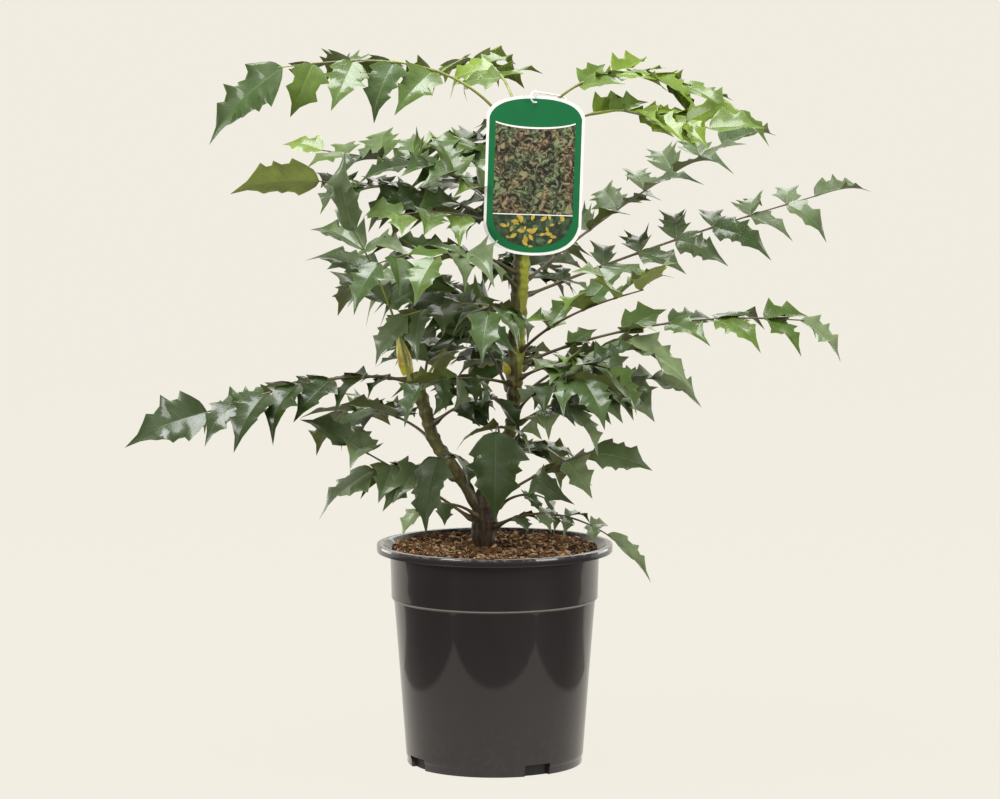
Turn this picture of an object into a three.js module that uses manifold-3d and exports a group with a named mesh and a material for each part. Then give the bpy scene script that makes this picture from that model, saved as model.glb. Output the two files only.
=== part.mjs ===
// A Japanese mahonia in a round nursery pot: two canes from one swollen foot, each with
// long pinnate fronds of spiny leaflets, and a hang tag looped over a top frond.
// Millimetres, +Z up. The origin is the centre of the pot's flat underside. Seen from
// the front the view runs along +Y and +X is to the right.

import * as THREE from "three";
import { mergeVertices } from "three/addons/utils/BufferGeometryUtils.js";
import Module from "manifold-3d";

const wasm = await Module();
wasm.setup();

// The clearance between pieces that touch
const GAP = 0.3;

// Pot
const POT_HEIGHT = 211;
const RIM_RADIUS = 112.5;
const RIM_LIP = 7.6;
const RIM_INNER = 106.5;
const NECK_RADIUS = 99.8;
const BAND_HEIGHT = 160.5;
const BAND_STEP = 2.2;
const BODY_TOP_RADIUS = 96.2;
const BODY_TOP = BAND_HEIGHT - BAND_STEP;
const FOOT_RADIUS = 84.6;
const FOOT_HEIGHT = 7;
const FOOT_STEP = 0.8;
const EDGE = 1;
const WALL = 1.8;
const FLOOR = 3;
const FOOT_WALL_RADIUS = 76;
const FOOT_WALL_HEIGHT = 15;
const NOTCH_WIDTH = 27;
const NOTCH_HEIGHT = 11;
const NOTCH_DEPTH = 6;
const NOTCH_COUNT = 4;
const NOTCH_TURN = 299;
const POT_SIDES = 32;

// Soil
const SOIL_PLAY = 1.2;
const SOIL_EDGE = 203.5;
const SOIL_TOP = 206.5;
const SOIL_FLAT_RADIUS = 45;
const SOIL_SHOULDER_RADIUS = 65;
const SOIL_SHOULDER_DROP = 1;

// Canes: each point is [x, y, z, radius], from the foot up
const CANE_SIDES = 10;
const MAIN_CANE = [
  [-10.5, 0, SOIL_TOP + GAP, 9.2],
  [-10.5, 0, 216, 11],
  [-10, 0, 232, 12.2],
  [-8, 0, 252, 11.6],
  [-2, 0, 272, 9.2],
  [7, 0, 294, 7.2],
  [16.5, 0, 324, 6.4],
  [18.5, 0, 350, 6.6],
  [22, 0, 424, 7.8],
  [25.5, 0, 487, 7.4],
  [27, 0, 540, 6.6],
  [27, 0, 590, 5.4],
];
const LEFT_CANE = [
  [-12, -2, 236, 5.6],
  [-22, -3.5, 256, 5.8],
  [-37, -5, 282, 6],
  [-56, -6, 308, 6],
  [-66, -6, 340, 6.2],
  [-72, -6, 358, 6.6],
  [-78, -6, 374, 6.4],
];
const CANES = { main: MAIN_CANE, left: LEFT_CANE };

// Buds: the outline is [share of length, share of radius], from the base up
const BUD_SIDES = 8;
const BUD_OUTLINE = [[0, 0.72], [0.25, 1], [0.6, 0.78], [0.88, 0.3], [1, 0.08]];
const BUD_SEAT = 0.4;
const MAIN_BUD = { length: 26, radius: 5, lean: [0.02, 0, 1] };
const LEFT_BUD = { length: 42, radius: 6.4, lean: [-0.34, 0, 0.94] };
const SIDE_BUD = { length: 14, radius: 3.6, height: 376, seat: 1.9, lean: [-0.42, -0.55, 0.72] };

// Leaf stalks
const STALK_BASE_RADIUS = 2.5;
const STALK_TIP_RADIUS = 1.3;
const STALK_STEPS = 6;
const STALK_SIDES = 3;

// One leaflet, as shares of its length, and angles in degrees
const LEAFLET_HALF_WIDTH = 0.29;
const LEAFLET_THICKNESS = 0.026;
const LEAFLET_FOLD = 16;
// Its margin from the root to the tip, as [share of length, share of half width]
const LEAFLET_MARGIN = [[0.28, 1], [0.46, 0.6], [0.64, 0.74]];

// The leaflets along a stalk: how far they point forward, where in its share of the stalk a
// pair sits, and how lengths, lifts, turns and droops vary
const PAIR_FORWARD = 62;
const PAIR_OFFSET = 0.15;
const LENGTH_LOW = 0.82;
const LENGTH_SWELL = 0.3;
const LENGTH_JITTER = 0.12;
const LIFT_JITTER = 12;
const TURN_JITTER = 8;
const DROOP = 38;
const DROOP_JITTER = 24;
const END_ROOT = 4;
const END_DROOP = 30;
// Other ways to hang a leaflet that would touch something, as [lift, turn] in degrees
const LEAFLET_TRIES = [[0, 0], [20, 0], [-20, 0], [0, 18], [38, 0], [-38, 0], [0, -18]];
const LEAFLET_CLEARANCE = 0.45;

// Fronds. name, cane and the height where the stalk leaves it; heading in degrees, 0 to the
// right and 90 to the back; the stalk's elevation at its root, middle and tip; its length;
// the share with no leaflets; how many pairs and how long a leaflet; how far both rows hang;
// how far the blade rolls its front side down; the end leaflet's droop, length and roll.
const FRONDS = [
  ["top_left", "main", 582, 183, [78, 13, -6], 262, 0.42, 4, 50, 24, 38, [30, 104, 50]],
  ["top_back_left", "main", 588, 112, [86, 20, -2], 196, 0.4, 3, 44, 6, 20, [10, 56, 10]],
  ["top_right_upper", "main", 574, 8, [92, 6, -34], 256, 0.34, 5, 44, 20, 36, [26, 46, 20]],
  ["top_right_lower", "main", 560, -7, [84, 7, -16], 204, 0.42, 4, 42, 14, 24, [4, 54, 40]],
  ["right_high", "main", 462, 34, [34, 28, 22], 266, 0.3, 5, 52, -16, 2, [4, 74, 20]],
  ["right_long", "main", 448, 17, [20, 17, 14], 308, 0.24, 6, 48, 6, 26, [-2, 64, 20]],
  ["right_middle", "main", 384, -8, [24, 9, -4], 272, 0.34, 4, 52, 4, 26, [30, 56, 20]],
  ["right_front", "main", 396, -50, [36, 20, 14], 186, 0.5, 2, 56, -40, 0, [-30, 58, 0]],
  ["right_low_upper", "main", 352, -20, [40, 28, 12], 124, 0.36, 2, 54, 12, 16, [16, 80, 20]],
  ["right_low", "main", 326, -12, [34, 20, 4], 140, 0.34, 3, 50, 10, 12, [22, 56, 20]],
  ["right_foot", "main", 258, -18, [34, 27, 18], 108, 0.34, 2, 46, 24, 14, [26, 60, 50]],
  ["right_over_rim", "main", 228, -22, [32, -3, -30], 122, 0.16, 4, 26, 10, 10, [8, 62, 30]],
  ["right_sprig", "main", 246, 8, [46, 8, -30], 52, 0.5, 1, 22, 10, 10, [40, 42, 10]],
  ["left_high", "main", 494, 173, [54, 12, 6], 206, 0.32, 4, 46, 6, 10, [2, 86, -45]],
  ["left_back_high", "main", 524, 160, [42, 12, 8], 212, 0.34, 4, 48, 4, 26, [-12, 46, 30]],
  ["back_left_top", "main", 536, 124, [56, 22, 4], 140, 0.4, 3, 42, 10, 8, [18, 58, 0]],
  ["left_upright", "left", 366, 222, [78, 64, 54], 168, 0.46, 3, 64, 4, 0, [-12, 76, 0]],
  ["left_cluster", "main", 432, 204, [22, -2, -14], 112, 0.4, 3, 48, 18, 10, [30, 56, 20]],
  ["left_long", "left", 370, 190, [12, -11, -16], 198, 0.18, 5, 50, 20, 16, [-2, 86, 50]],
  ["left_foot_long", "main", 233, 182, [36, 32, 28], 140, 0.82, 1, 46, -24, 0, [-8, 54, 40]],
  ["left_low", "left", 276, 192, [38, 4, -6], 84, 0.4, 2, 44, 16, 10, [24, 72, 30]],
  ["left_sprig", "main", 238, 226, [34, 8, -14], 84, 0.5, 1, 28, 20, 6, [24, 32, 10]],
  ["inner_left", "left", 362, 12, [62, 48, 24], 86, 0.6, 2, 44, 10, 20, [6, 62, 20]],
  ["inner_high", "main", 356, 150, [66, 50, 30], 104, 0.5, 2, 42, 8, 10, [10, 52, 10]],
  ["front_foot", "main", 292, 267, [58, 22, -16], 104, 0.52, 1, 40, 20, 0, [56, 84, 0]],
  ["front_left_foot", "main", 262, 238, [56, 26, -12], 98, 0.5, 1, 42, 24, 0, [54, 74, 0]],
  ["front_middle", "main", 364, 230, [14, 4, -4], 132, 0.3, 3, 40, 26, 6, [40, 46, 0]],
  ["front_right", "main", 338, -58, [40, 18, -2], 128, 0.4, 3, 46, 20, 0, [36, 56, 0]],
  ["front_left_high", "main", 504, 204, [34, 6, -12], 146, 0.38, 3, 48, 18, 8, [26, 56, 20]],
  ["front_high", "main", 456, 238, [38, 14, -8], 150, 0.42, 3, 48, 18, 6, [30, 56, 0]],
  ["front_centre", "main", 412, 258, [36, 14, -10], 132, 0.46, 2, 46, 20, 0, [36, 54, 0]],
  ["back_top", "main", 550, 88, [58, 12, -14], 214, 0.36, 4, 48, 14, 0, [24, 70, 0]],
  ["back_high", "main", 478, 108, [42, 16, 2], 232, 0.3, 4, 54, 12, 4, [16, 74, 0]],
  ["back_right", "main", 430, 84, [30, 12, 0], 220, 0.3, 4, 52, 14, 0, [16, 70, 0]],
  ["back_middle", "main", 404, 128, [34, 10, -4], 236, 0.28, 4, 54, 14, 4, [18, 74, 0]],
  ["back_low", "main", 342, 96, [30, 10, -8], 208, 0.3, 4, 50, 16, 0, [22, 72, 0]],
  ["back_left", "left", 350, 86, [36, 12, -8], 186, 0.32, 3, 54, 14, 0, [22, 72, 0]],
  ["back_left_low", "left", 312, 128, [26, 4, -10], 150, 0.34, 3, 48, 14, 4, [24, 66, 0]],
  ["back_foot", "main", 270, 66, [34, 8, -12], 128, 0.36, 3, 44, 18, 0, [26, 62, 0]],
  ["inner_left_top", "main", 512, 186, [60, 30, 6], 122, 0.36, 3, 46, 14, 14, [16, 56, 20]],
  ["inner_left_middle", "main", 470, 222, [30, 4, -14], 176, 0.34, 4, 46, 16, 10, [30, 56, 0]],
  ["inner_right", "main", 370, -44, [26, 8, -10], 118, 0.4, 3, 46, 16, 8, [26, 56, 0]],
  ["inner_right_low", "main", 304, -44, [56, 30, 4], 92, 0.44, 2, 44, 16, 8, [20, 58, 0]],
  ["inner_left_low", "left", 326, 334, [40, 22, -4], 72, 0.4, 2, 36, 20, 10, [36, 44, 0]],
].map(([name, cane, height, heading, rise, length, bare, pairs, leaflet, hang, roll, end]) => (
  { name: `frond_${name}`, cane, height, heading, rise, length, bare, pairs, leaflet, hang, roll, end }
));

// Hang tag, with arched ends, and the loop that holds it on a frond's stalk
const TAG_WIDTH = 92;
const TAG_HEIGHT = 150;
const TAG_THICKNESS = 0.8;
const TAG_FOOT_SHOULDER = 26;
const TAG_HEAD_SHOULDER = 18;
const TAG_ARCH = 0.88;
const TAG_CENTRE = [37, -20, 562];
const TAG_LEAN = 1.8;
const TAG_HOLE_RADIUS = 2.2;
const TAG_HOLE_DROP = 7;
const TAG_SIDES = 10;
const LOOP_FROND = "frond_top_right_upper";
const LOOP_WIRE = 0.8;
const LOOP_END_STEPS = 7;
const LOOP_STRAND_STEPS = 4;
const LOOP_SIDES = 6;
const LOOP_HALF = 5;
const LOOP_REACH = 2;
const LOOP_BACK = 1;
const LOOP_RISE = 4;
const LOOP_SEARCH = 0.35;
const LOOP_SEARCH_STEPS = 40;

const COLOURS = {
  pot: 0x2b2a2c,
  soil: 0x5b3a26,
  cane: 0x6b5a34,
  bud: 0xb8a32c,
  frond: 0x3f5c3a,
  tag: 0x1f7a4a,
  loop: 0xe8e8e4,
};

const material = (colour, roughness) =>
  new THREE.MeshStandardMaterial({ color: colour, roughness, metalness: 0 });
const MATERIALS = {
  pot: material(COLOURS.pot, 0.45),
  soil: material(COLOURS.soil, 0.95),
  cane: material(COLOURS.cane, 0.7),
  bud: material(COLOURS.bud, 0.5),
  frond: material(COLOURS.frond, 0.4),
  tag: material(COLOURS.tag, 0.4),
  loop: material(COLOURS.loop, 0.5),
};

const radians = THREE.MathUtils.degToRad;
const UP = new THREE.Vector3(0, 0, 1);
const BACK = new THREE.Vector3(0, 1, 0);

// A geometry from plain lists of points and triangles
function geometryOf(points, triangles) {
  const geometry = new THREE.BufferGeometry();
  geometry.setAttribute("position", new THREE.Float32BufferAttribute(points.flat(), 3));
  geometry.setIndex(triangles.flat());
  return geometry;
}

function toSolid(geometry) {
  const bare = geometry.clone();
  bare.deleteAttribute("normal");
  bare.deleteAttribute("uv");
  const merged = mergeVertices(bare, 1e-4);
  const mesh = new wasm.Mesh({
    numProp: 3,
    vertProperties: new Float32Array(merged.attributes.position.array),
    triVerts: new Uint32Array(merged.index.array),
  });
  return new wasm.Manifold(mesh);
}

function toGeometry(solid) {
  const mesh = solid.getMesh();
  const geometry = new THREE.BufferGeometry();
  geometry.setAttribute("position", new THREE.BufferAttribute(mesh.vertProperties, 3));
  geometry.setIndex(new THREE.BufferAttribute(mesh.triVerts, 1));
  geometry.computeVertexNormals();
  return geometry;
}

// Rings of points joined into a closed body, with flat ends or as an endless loop
function loft(rings, endless = false) {
  const sides = rings[0].length;
  const points = rings.flat().map((p) => [p.x, p.y, p.z]);
  const triangles = [];
  for (let r = 0; r < rings.length - (endless ? 0 : 1); r += 1) {
    const next = ((r + 1) % rings.length) * sides;
    for (let s = 0; s < sides; s += 1) {
      const t = (s + 1) % sides;
      const [a, b] = [r * sides + s, r * sides + t];
      triangles.push([a, b, next + t], [a, next + t, next + s]);
    }
  }
  if (endless) return geometryOf(points, triangles);
  const last = (rings.length - 1) * sides;
  for (let s = 1; s + 1 < sides; s += 1) {
    triangles.push([0, s + 1, s], [last, last + s, last + s + 1]);
  }
  return geometryOf(points, triangles);
}

// A ring round a point, square to a direction; its first point is on the side of `first`
function ring(centre, along, first, radius, sides) {
  const u = first.clone().addScaledVector(along, -first.dot(along)).normalize();
  const v = along.clone().cross(u);
  return Array.from({ length: sides }, (_, s) => {
    const turn = (2 * Math.PI * s) / sides;
    return centre.clone()
      .addScaledVector(u, radius * Math.cos(turn))
      .addScaledVector(v, radius * Math.sin(turn));
  });
}

// Even jitter from -1 to 1, the same on every run
function jitter(frond, leaflet, kind) {
  const wave = Math.sin(frond * 12.9898 + leaflet * 78.233 + kind * 37.719) * 43758.5453;
  return 2 * (wave - Math.floor(wave)) - 1;
}

// The pot: a lathed shell with a rim lip, a narrow ledge and notches round its foot
function buildPot() {
  const lip = POT_HEIGHT - RIM_LIP;
  const profile = [
    [0, 0],
    [FOOT_RADIUS - FOOT_STEP - EDGE, 0],
    [FOOT_RADIUS - FOOT_STEP, EDGE],
    [FOOT_RADIUS - FOOT_STEP, FOOT_HEIGHT],
    [FOOT_RADIUS, FOOT_HEIGHT + EDGE],
    [BODY_TOP_RADIUS, BODY_TOP],
    [BODY_TOP_RADIUS + BAND_STEP, BAND_HEIGHT],
    [NECK_RADIUS, lip],
    [RIM_RADIUS - EDGE, lip],
    [RIM_RADIUS, lip + EDGE],
    [RIM_RADIUS, POT_HEIGHT - EDGE],
    [RIM_RADIUS - EDGE, POT_HEIGHT],
    [RIM_INNER, POT_HEIGHT],
    [NECK_RADIUS - WALL, lip - WALL],
    [BODY_TOP_RADIUS + BAND_STEP - WALL, BAND_HEIGHT],
    [BODY_TOP_RADIUS - WALL, BODY_TOP - WALL],
    [FOOT_RADIUS - WALL, FOOT_WALL_HEIGHT],
    [FOOT_WALL_RADIUS, FOOT_WALL_HEIGHT],
    [FOOT_WALL_RADIUS, FLOOR],
    [0, FLOOR],
  ];
  const outline = profile.map(([r, z]) => new THREE.Vector2(r, z));
  let pot = toSolid(new THREE.LatheGeometry(outline, POT_SIDES).rotateX(Math.PI / 2));
  for (let n = 0; n < NOTCH_COUNT; n += 1) {
    const cutter = new THREE.BoxGeometry(NOTCH_DEPTH * 2, NOTCH_WIDTH, NOTCH_HEIGHT * 2);
    cutter.translate(FOOT_RADIUS, 0, 0);
    cutter.rotateZ(radians(NOTCH_TURN + (360 / NOTCH_COUNT) * n));
    pot = pot.subtract(toSolid(cutter));
  }
  return toGeometry(pot);
}

// The soil: a gently domed plug that fills the pot and is flat where the canes stand
function buildSoil() {
  const slope = (BODY_TOP_RADIUS - FOOT_RADIUS) / (BODY_TOP - FOOT_HEIGHT - EDGE);
  const inside = (z) => FOOT_RADIUS + slope * (z - FOOT_HEIGHT - EDGE) - WALL - SOIL_PLAY;
  const profile = [
    [0, FLOOR + GAP],
    [FOOT_WALL_RADIUS - GAP, FLOOR + GAP],
    [FOOT_WALL_RADIUS - GAP, FOOT_WALL_HEIGHT + GAP],
    [inside(FOOT_WALL_HEIGHT), FOOT_WALL_HEIGHT + GAP],
    [inside(BODY_TOP), BODY_TOP],
    [NECK_RADIUS - WALL - SOIL_PLAY, SOIL_EDGE],
    [SOIL_SHOULDER_RADIUS, SOIL_TOP - SOIL_SHOULDER_DROP],
    [SOIL_FLAT_RADIUS, SOIL_TOP],
    [0, SOIL_TOP],
  ];
  const outline = profile.map(([r, z]) => new THREE.Vector2(r, z));
  return new THREE.LatheGeometry(outline, POT_SIDES).rotateX(Math.PI / 2);
}

// A cane through its points, with the foot ring kept level
function caneRings(points, grow = 0) {
  const places = points.map(([x, y, z]) => new THREE.Vector3(x, y, z));
  return points.map(([, , , radius], n) => {
    const before = places[Math.max(n - 1, 0)];
    const after = places[Math.min(n + 1, places.length - 1)];
    const along = n === 0 ? UP.clone() : after.clone().sub(before).normalize();
    return ring(places[n], along, BACK, radius + grow, CANE_SIDES);
  });
}

// Where a cane is at a height: its axis point, direction and radius
function caneAt(points, height) {
  let n = 0;
  while (n + 2 < points.length && points[n + 1][2] < height) n += 1;
  const low = points[n];
  const high = points[n + 1];
  const share = (height - low[2]) / (high[2] - low[2]);
  const mix = (k) => low[k] + (high[k] - low[k]) * share;
  const along = new THREE.Vector3(high[0] - low[0], high[1] - low[1], high[2] - low[2]);
  return {
    place: new THREE.Vector3(mix(0), mix(1), mix(2)),
    along: along.normalize(),
    radius: mix(3),
  };
}

// A pointed bud standing on a base point along its leaning direction
function buildBud(base, bud) {
  const along = new THREE.Vector3(...bud.lean).normalize();
  return loft(BUD_OUTLINE.map(([share, width]) => {
    const centre = base.clone().addScaledVector(along, bud.length * share);
    return ring(centre, along, BACK, bud.radius * width, BUD_SIDES);
  }));
}

// A bud's base just above the top of a cane
function topSeat(points, bud) {
  const [x, y, z] = points[points.length - 1];
  const lean = new THREE.Vector3(...bud.lean).normalize();
  return new THREE.Vector3(x, y, z).addScaledVector(lean, BUD_SEAT);
}

// A bud's base just beside a cane
function sideSeat(points, bud) {
  const cane = caneAt(points, bud.height);
  const out = new THREE.Vector3(bud.lean[0], bud.lean[1], 0).normalize();
  return cane.place.addScaledVector(out, cane.radius + bud.seat);
}

// The stalk's elevation at a share of its length: a parabola through its three rises
function riseAt([root, middle, tip], share) {
  return root * 2 * (share - 0.5) * (share - 1)
    + middle * 4 * share * (1 - share)
    + tip * 2 * share * (share - 0.5);
}

function headingVector(heading, rise) {
  const h = radians(heading);
  const e = radians(rise);
  return new THREE.Vector3(Math.cos(h) * Math.cos(e), Math.sin(h) * Math.cos(e), Math.sin(e));
}

// The stalk's points and directions, from just clear of the cane to its tip
function stalkPath(frond) {
  const cane = caneAt(CANES[frond.cane], frond.height);
  const out = headingVector(frond.heading, 0);
  out.addScaledVector(cane.along, -out.dot(cane.along)).normalize();
  const points = [cane.place.clone().addScaledVector(out, cane.radius + GAP)];
  const ways = [out];
  const step = frond.length / STALK_STEPS;
  for (let n = 0; n < STALK_STEPS; n += 1) {
    const way = headingVector(frond.heading, riseAt(frond.rise, (n + 0.5) / STALK_STEPS));
    points.push(points[n].clone().addScaledVector(way, step));
    ways.push(way);
  }
  return { points, ways };
}

function stalkAt(path, share) {
  const place = share * STALK_STEPS;
  const n = Math.min(Math.floor(place), STALK_STEPS - 1);
  return {
    place: path.points[n].clone().lerp(path.points[n + 1], place - n),
    way: path.ways[n + 1],
  };
}

// A three-sided tapering stalk; its root end is flat against the cane
function buildStalk(path) {
  return loft(path.points.map((point, n) => {
    const share = n / STALK_STEPS;
    const radius = STALK_BASE_RADIUS + (STALK_TIP_RADIUS - STALK_BASE_RADIUS) * share;
    const before = path.ways[n];
    const after = path.ways[Math.min(n + 1, STALK_STEPS)];
    const along = n === 0 ? before.clone() : before.clone().add(after).normalize();
    return ring(point, along, UP, radius, STALK_SIDES);
  }));
}

// One leaflet: a thin blade folded up along its rib, with a spiny margin that thins to an
// edge and a tip that droops. frame holds its root, the way it points, the side to its left
// and the way it faces; grow makes it larger all round, to test its clearance.
function buildLeaflet(frame, length, droop, grow = 0) {
  const halfWidth = length * LEAFLET_HALF_WIDTH;
  const thick = length * LEAFLET_THICKNESS / 2 + grow;
  const fold = Math.tan(radians(LEAFLET_FOLD));
  const at = (share, across, up) => {
    const sag = radians(droop) * share * share / 2;
    const along = share * (length + grow);
    const p = frame.root.clone()
      .addScaledVector(frame.way, along * Math.cos(sag))
      .addScaledVector(frame.face, -along * Math.sin(sag))
      .addScaledVector(frame.side, across * (halfWidth + grow))
      .addScaledVector(frame.face, up + Math.abs(across) * halfWidth * fold);
    return [p.x, p.y, p.z];
  };
  const middle = LEAFLET_MARGIN[1][0];
  const points = [
    at(0, 0, thick), at(0, 0, -thick), at(middle, 0, thick), at(middle, 0, -thick), at(1, 0, 0),
    ...[1, -1].flatMap((side) => LEAFLET_MARGIN.map(([t, w]) => at(t, side * w, 0))),
  ];
  const [rootUp, rootDown, ribUp, ribDown, tip] = [0, 1, 2, 3, 4];
  const triangles = [];
  for (const [first, turned] of [[5, false], [8, true]]) {
    const [a, b, c] = [first, first + 1, first + 2];
    const half = [
      [rootUp, ribUp, a], [a, ribUp, b], [b, ribUp, c], [c, ribUp, tip],
      [rootDown, a, ribDown], [a, b, ribDown], [b, c, ribDown], [c, tip, ribDown],
      [rootUp, a, rootDown],
    ];
    triangles.push(...half.map(([p, q, r]) => (turned ? [p, r, q] : [p, q, r])));
  }
  return geometryOf(points, triangles);
}

// Two square directions turned in their own plane by an angle
function turnTo(from, towards, angle) {
  const turned = from.clone().multiplyScalar(Math.cos(angle));
  return turned.addScaledVector(towards, Math.sin(angle));
}

// The frame of a leaflet. side is 1 on the stalk's left, -1 on its right and 0 at its end;
// lift and turn are added to where the rule puts it.
function leafletFrame(path, plan, lift, turn) {
  const { place, way } = stalkAt(path, plan.share);
  const left = UP.clone().cross(way).normalize();
  const face = way.clone().cross(left);
  const tilt = radians(plan.lift + lift);
  let direction;
  let across;
  if (plan.side === 0) {
    direction = turnTo(turnTo(way, left, radians(plan.turn + turn)), face, tilt);
    across = turnTo(left, face, radians(plan.roll));
  } else {
    const out = turnTo(left.clone().multiplyScalar(plan.side), face, tilt);
    direction = turnTo(way, out, radians(PAIR_FORWARD + plan.turn + turn));
    across = way.clone().multiplyScalar(-plan.side);
  }
  direction.normalize();
  across.addScaledVector(direction, -across.dot(direction)).normalize();
  return { root: place, way: direction, side: across, face: direction.clone().cross(across) };
}

// Every leaflet that a frond would like to have, from its root to its end leaflet
function leafletPlans(frond, index) {
  const leftIsBack = Math.cos(radians(frond.heading)) > 0 ? 1 : -1;
  const plans = [];
  for (let pair = 0; pair < frond.pairs; pair += 1) {
    const share = frond.bare + (1 - frond.bare) * ((pair + PAIR_OFFSET) / frond.pairs);
    const swell = LENGTH_LOW + LENGTH_SWELL * Math.sin(Math.PI * (pair + 1) / (frond.pairs + 1));
    for (const side of [1, -1]) {
      const key = pair * 2 + (side + 1) / 2;
      plans.push({
        share,
        side,
        length: frond.leaflet * swell * (1 + LENGTH_JITTER * jitter(index, key, 1)),
        lift: side * leftIsBack * frond.roll - frond.hang + LIFT_JITTER * jitter(index, key, 2),
        turn: TURN_JITTER * jitter(index, key, 3),
        droop: DROOP + DROOP_JITTER * jitter(index, key, 4),
      });
    }
  }
  const [droop, length, roll] = frond.end;
  const share = 1 - END_ROOT / frond.length;
  plans.push({
    share, side: 0, length, lift: -droop, turn: 0, roll: roll * leftIsBack, droop: END_DROOP,
  });
  return plans;
}

// The tag: an upright plate with arched ends, and a hole near its top
function buildTag() {
  const w = TAG_WIDTH / 2;
  const h = TAG_HEIGHT / 2;
  const shape = new THREE.Shape();
  shape.moveTo(-w, TAG_FOOT_SHOULDER - h);
  shape.quadraticCurveTo(-w * TAG_ARCH, -h, 0, -h);
  shape.quadraticCurveTo(w * TAG_ARCH, -h, w, TAG_FOOT_SHOULDER - h);
  shape.lineTo(w, h - TAG_HEAD_SHOULDER);
  shape.quadraticCurveTo(w * TAG_ARCH, h, 0, h);
  shape.quadraticCurveTo(-w * TAG_ARCH, h, -w, h - TAG_HEAD_SHOULDER);
  shape.lineTo(-w, TAG_FOOT_SHOULDER - h);
  const hole = new THREE.Path();
  hole.absarc(0, h - TAG_HOLE_DROP, TAG_HOLE_RADIUS, 0, 2 * Math.PI, true);
  shape.holes.push(hole);
  const plate = new THREE.ExtrudeGeometry(shape, {
    depth: TAG_THICKNESS, bevelEnabled: false, curveSegments: TAG_SIDES,
  });
  plate.translate(0, 0, -TAG_THICKNESS / 2);
  return plate.rotateX(Math.PI / 2).rotateY(radians(TAG_LEAN)).translate(...TAG_CENTRE);
}

// The middle of the tag's hole
function tagHole() {
  const offset = new THREE.Vector3(0, 0, TAG_HEIGHT / 2 - TAG_HOLE_DROP);
  offset.applyAxisAngle(BACK, radians(TAG_LEAN));
  return offset.add(new THREE.Vector3(...TAG_CENTRE));
}

// Half a turn of the loop's wire, in the plane of two directions, as a list of stations
function loopEnd(centre, along, across, start) {
  return Array.from({ length: LOOP_END_STEPS }, (_, n) => {
    const turn = start + (Math.PI * n) / (LOOP_END_STEPS - 1);
    return {
      spot: centre.clone()
        .addScaledVector(along, LOOP_HALF * Math.cos(turn))
        .addScaledVector(across, LOOP_HALF * Math.sin(turn)),
      way: along.clone().multiplyScalar(-Math.sin(turn)).addScaledVector(across, Math.cos(turn)),
      side: along.clone().cross(across),
    };
  });
}

// A straight strand between two stations, twisting evenly from one to the other
function loopStrand(from, to) {
  return Array.from({ length: LOOP_STRAND_STEPS }, (_, n) => {
    const share = (n + 1) / (LOOP_STRAND_STEPS + 1);
    return {
      spot: from.spot.clone().lerp(to.spot, share),
      way: to.spot.clone().sub(from.spot).normalize(),
      side: from.side.clone().lerp(to.side, share),
    };
  });
}

// The loop: a thin wire that goes through the tag's hole, closes over the tag's top edge and
// hangs round a stalk, as two straight strands that twist between round ends
function buildLoop(stalk) {
  const hole = tagHole();
  const level = hole.z + LOOP_RISE;
  const held = Array.from({ length: LOOP_SEARCH_STEPS }, (_, n) => (
    stalkAt(stalk, LOOP_SEARCH * (n / LOOP_SEARCH_STEPS))
  )).reduce((best, p) => (Math.abs(p.place.z - level) < Math.abs(best.place.z - level) ? p : best));
  const along = held.place.clone().sub(hole).normalize();
  const across = UP.clone().addScaledVector(along, -along.z).normalize();
  const round = held.way.clone().addScaledVector(along, -held.way.dot(along)).normalize();
  const front = hole.addScaledVector(along, -LOOP_REACH);
  front.z += TAG_HOLE_RADIUS - LOOP_WIRE - GAP + LOOP_HALF;
  const back = held.place.addScaledVector(along, -LOOP_BACK);
  const first = loopEnd(front, along, across, Math.PI / 2);
  const second = loopEnd(back, along, round.cross(along), -Math.PI / 2);
  const stations = [
    ...first, ...loopStrand(first.at(-1), second[0]),
    ...second, ...loopStrand(second.at(-1), first[0]),
  ];
  return loft(stations.map((at) => ring(at.spot, at.way, at.side, LOOP_WIRE, LOOP_SIDES)), true);
}

const part = new THREE.Group();
function place(name, geometry, look) {
  const mesh = new THREE.Mesh(geometry, look);
  mesh.name = name;
  part.add(mesh);
}

const stalks = FRONDS.map(stalkPath);
const leftCane = toSolid(loft(caneRings(LEFT_CANE)));
const leftCaneCut = leftCane.subtract(toSolid(loft(caneRings(MAIN_CANE, GAP))));

// Limbs and made things first, so that the leaflets can keep clear of them
place("pot", buildPot(), MATERIALS.pot);
place("soil", buildSoil(), MATERIALS.soil);
place("cane_main", loft(caneRings(MAIN_CANE)), MATERIALS.cane);
place("cane_left", toGeometry(leftCaneCut), MATERIALS.cane);
place("bud_main", buildBud(topSeat(MAIN_CANE, MAIN_BUD), MAIN_BUD), MATERIALS.bud);
place("bud_left", buildBud(topSeat(LEFT_CANE, LEFT_BUD), LEFT_BUD), MATERIALS.bud);
place("bud_side", buildBud(sideSeat(MAIN_CANE, SIDE_BUD), SIDE_BUD), MATERIALS.bud);
place("tag", buildTag(), MATERIALS.tag);
const loopStalk = stalks[FRONDS.findIndex((frond) => frond.name === LOOP_FROND)];
place("tag_loop", buildLoop(loopStalk), MATERIALS.loop);

// What each leaflet has to keep clear of
function obstacle(solid, owner) {
  const { min, max } = solid.boundingBox();
  return { solid, min, max, owner };
}

function boxesMeet(a, b) {
  return [0, 1, 2].every((k) => a.min[k] <= b.max[k] && b.min[k] <= a.max[k]);
}

function touches(candidate, others) {
  return others.some((other) => other.owner !== candidate.owner && boxesMeet(candidate, other)
    && !candidate.solid.intersect(other.solid).isEmpty());
}

const obstacles = part.children.map((mesh) => obstacle(toSolid(mesh.geometry), -1));
stalks.forEach((path, n) => obstacles.push(obstacle(toSolid(buildStalk(path)), n)));

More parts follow.
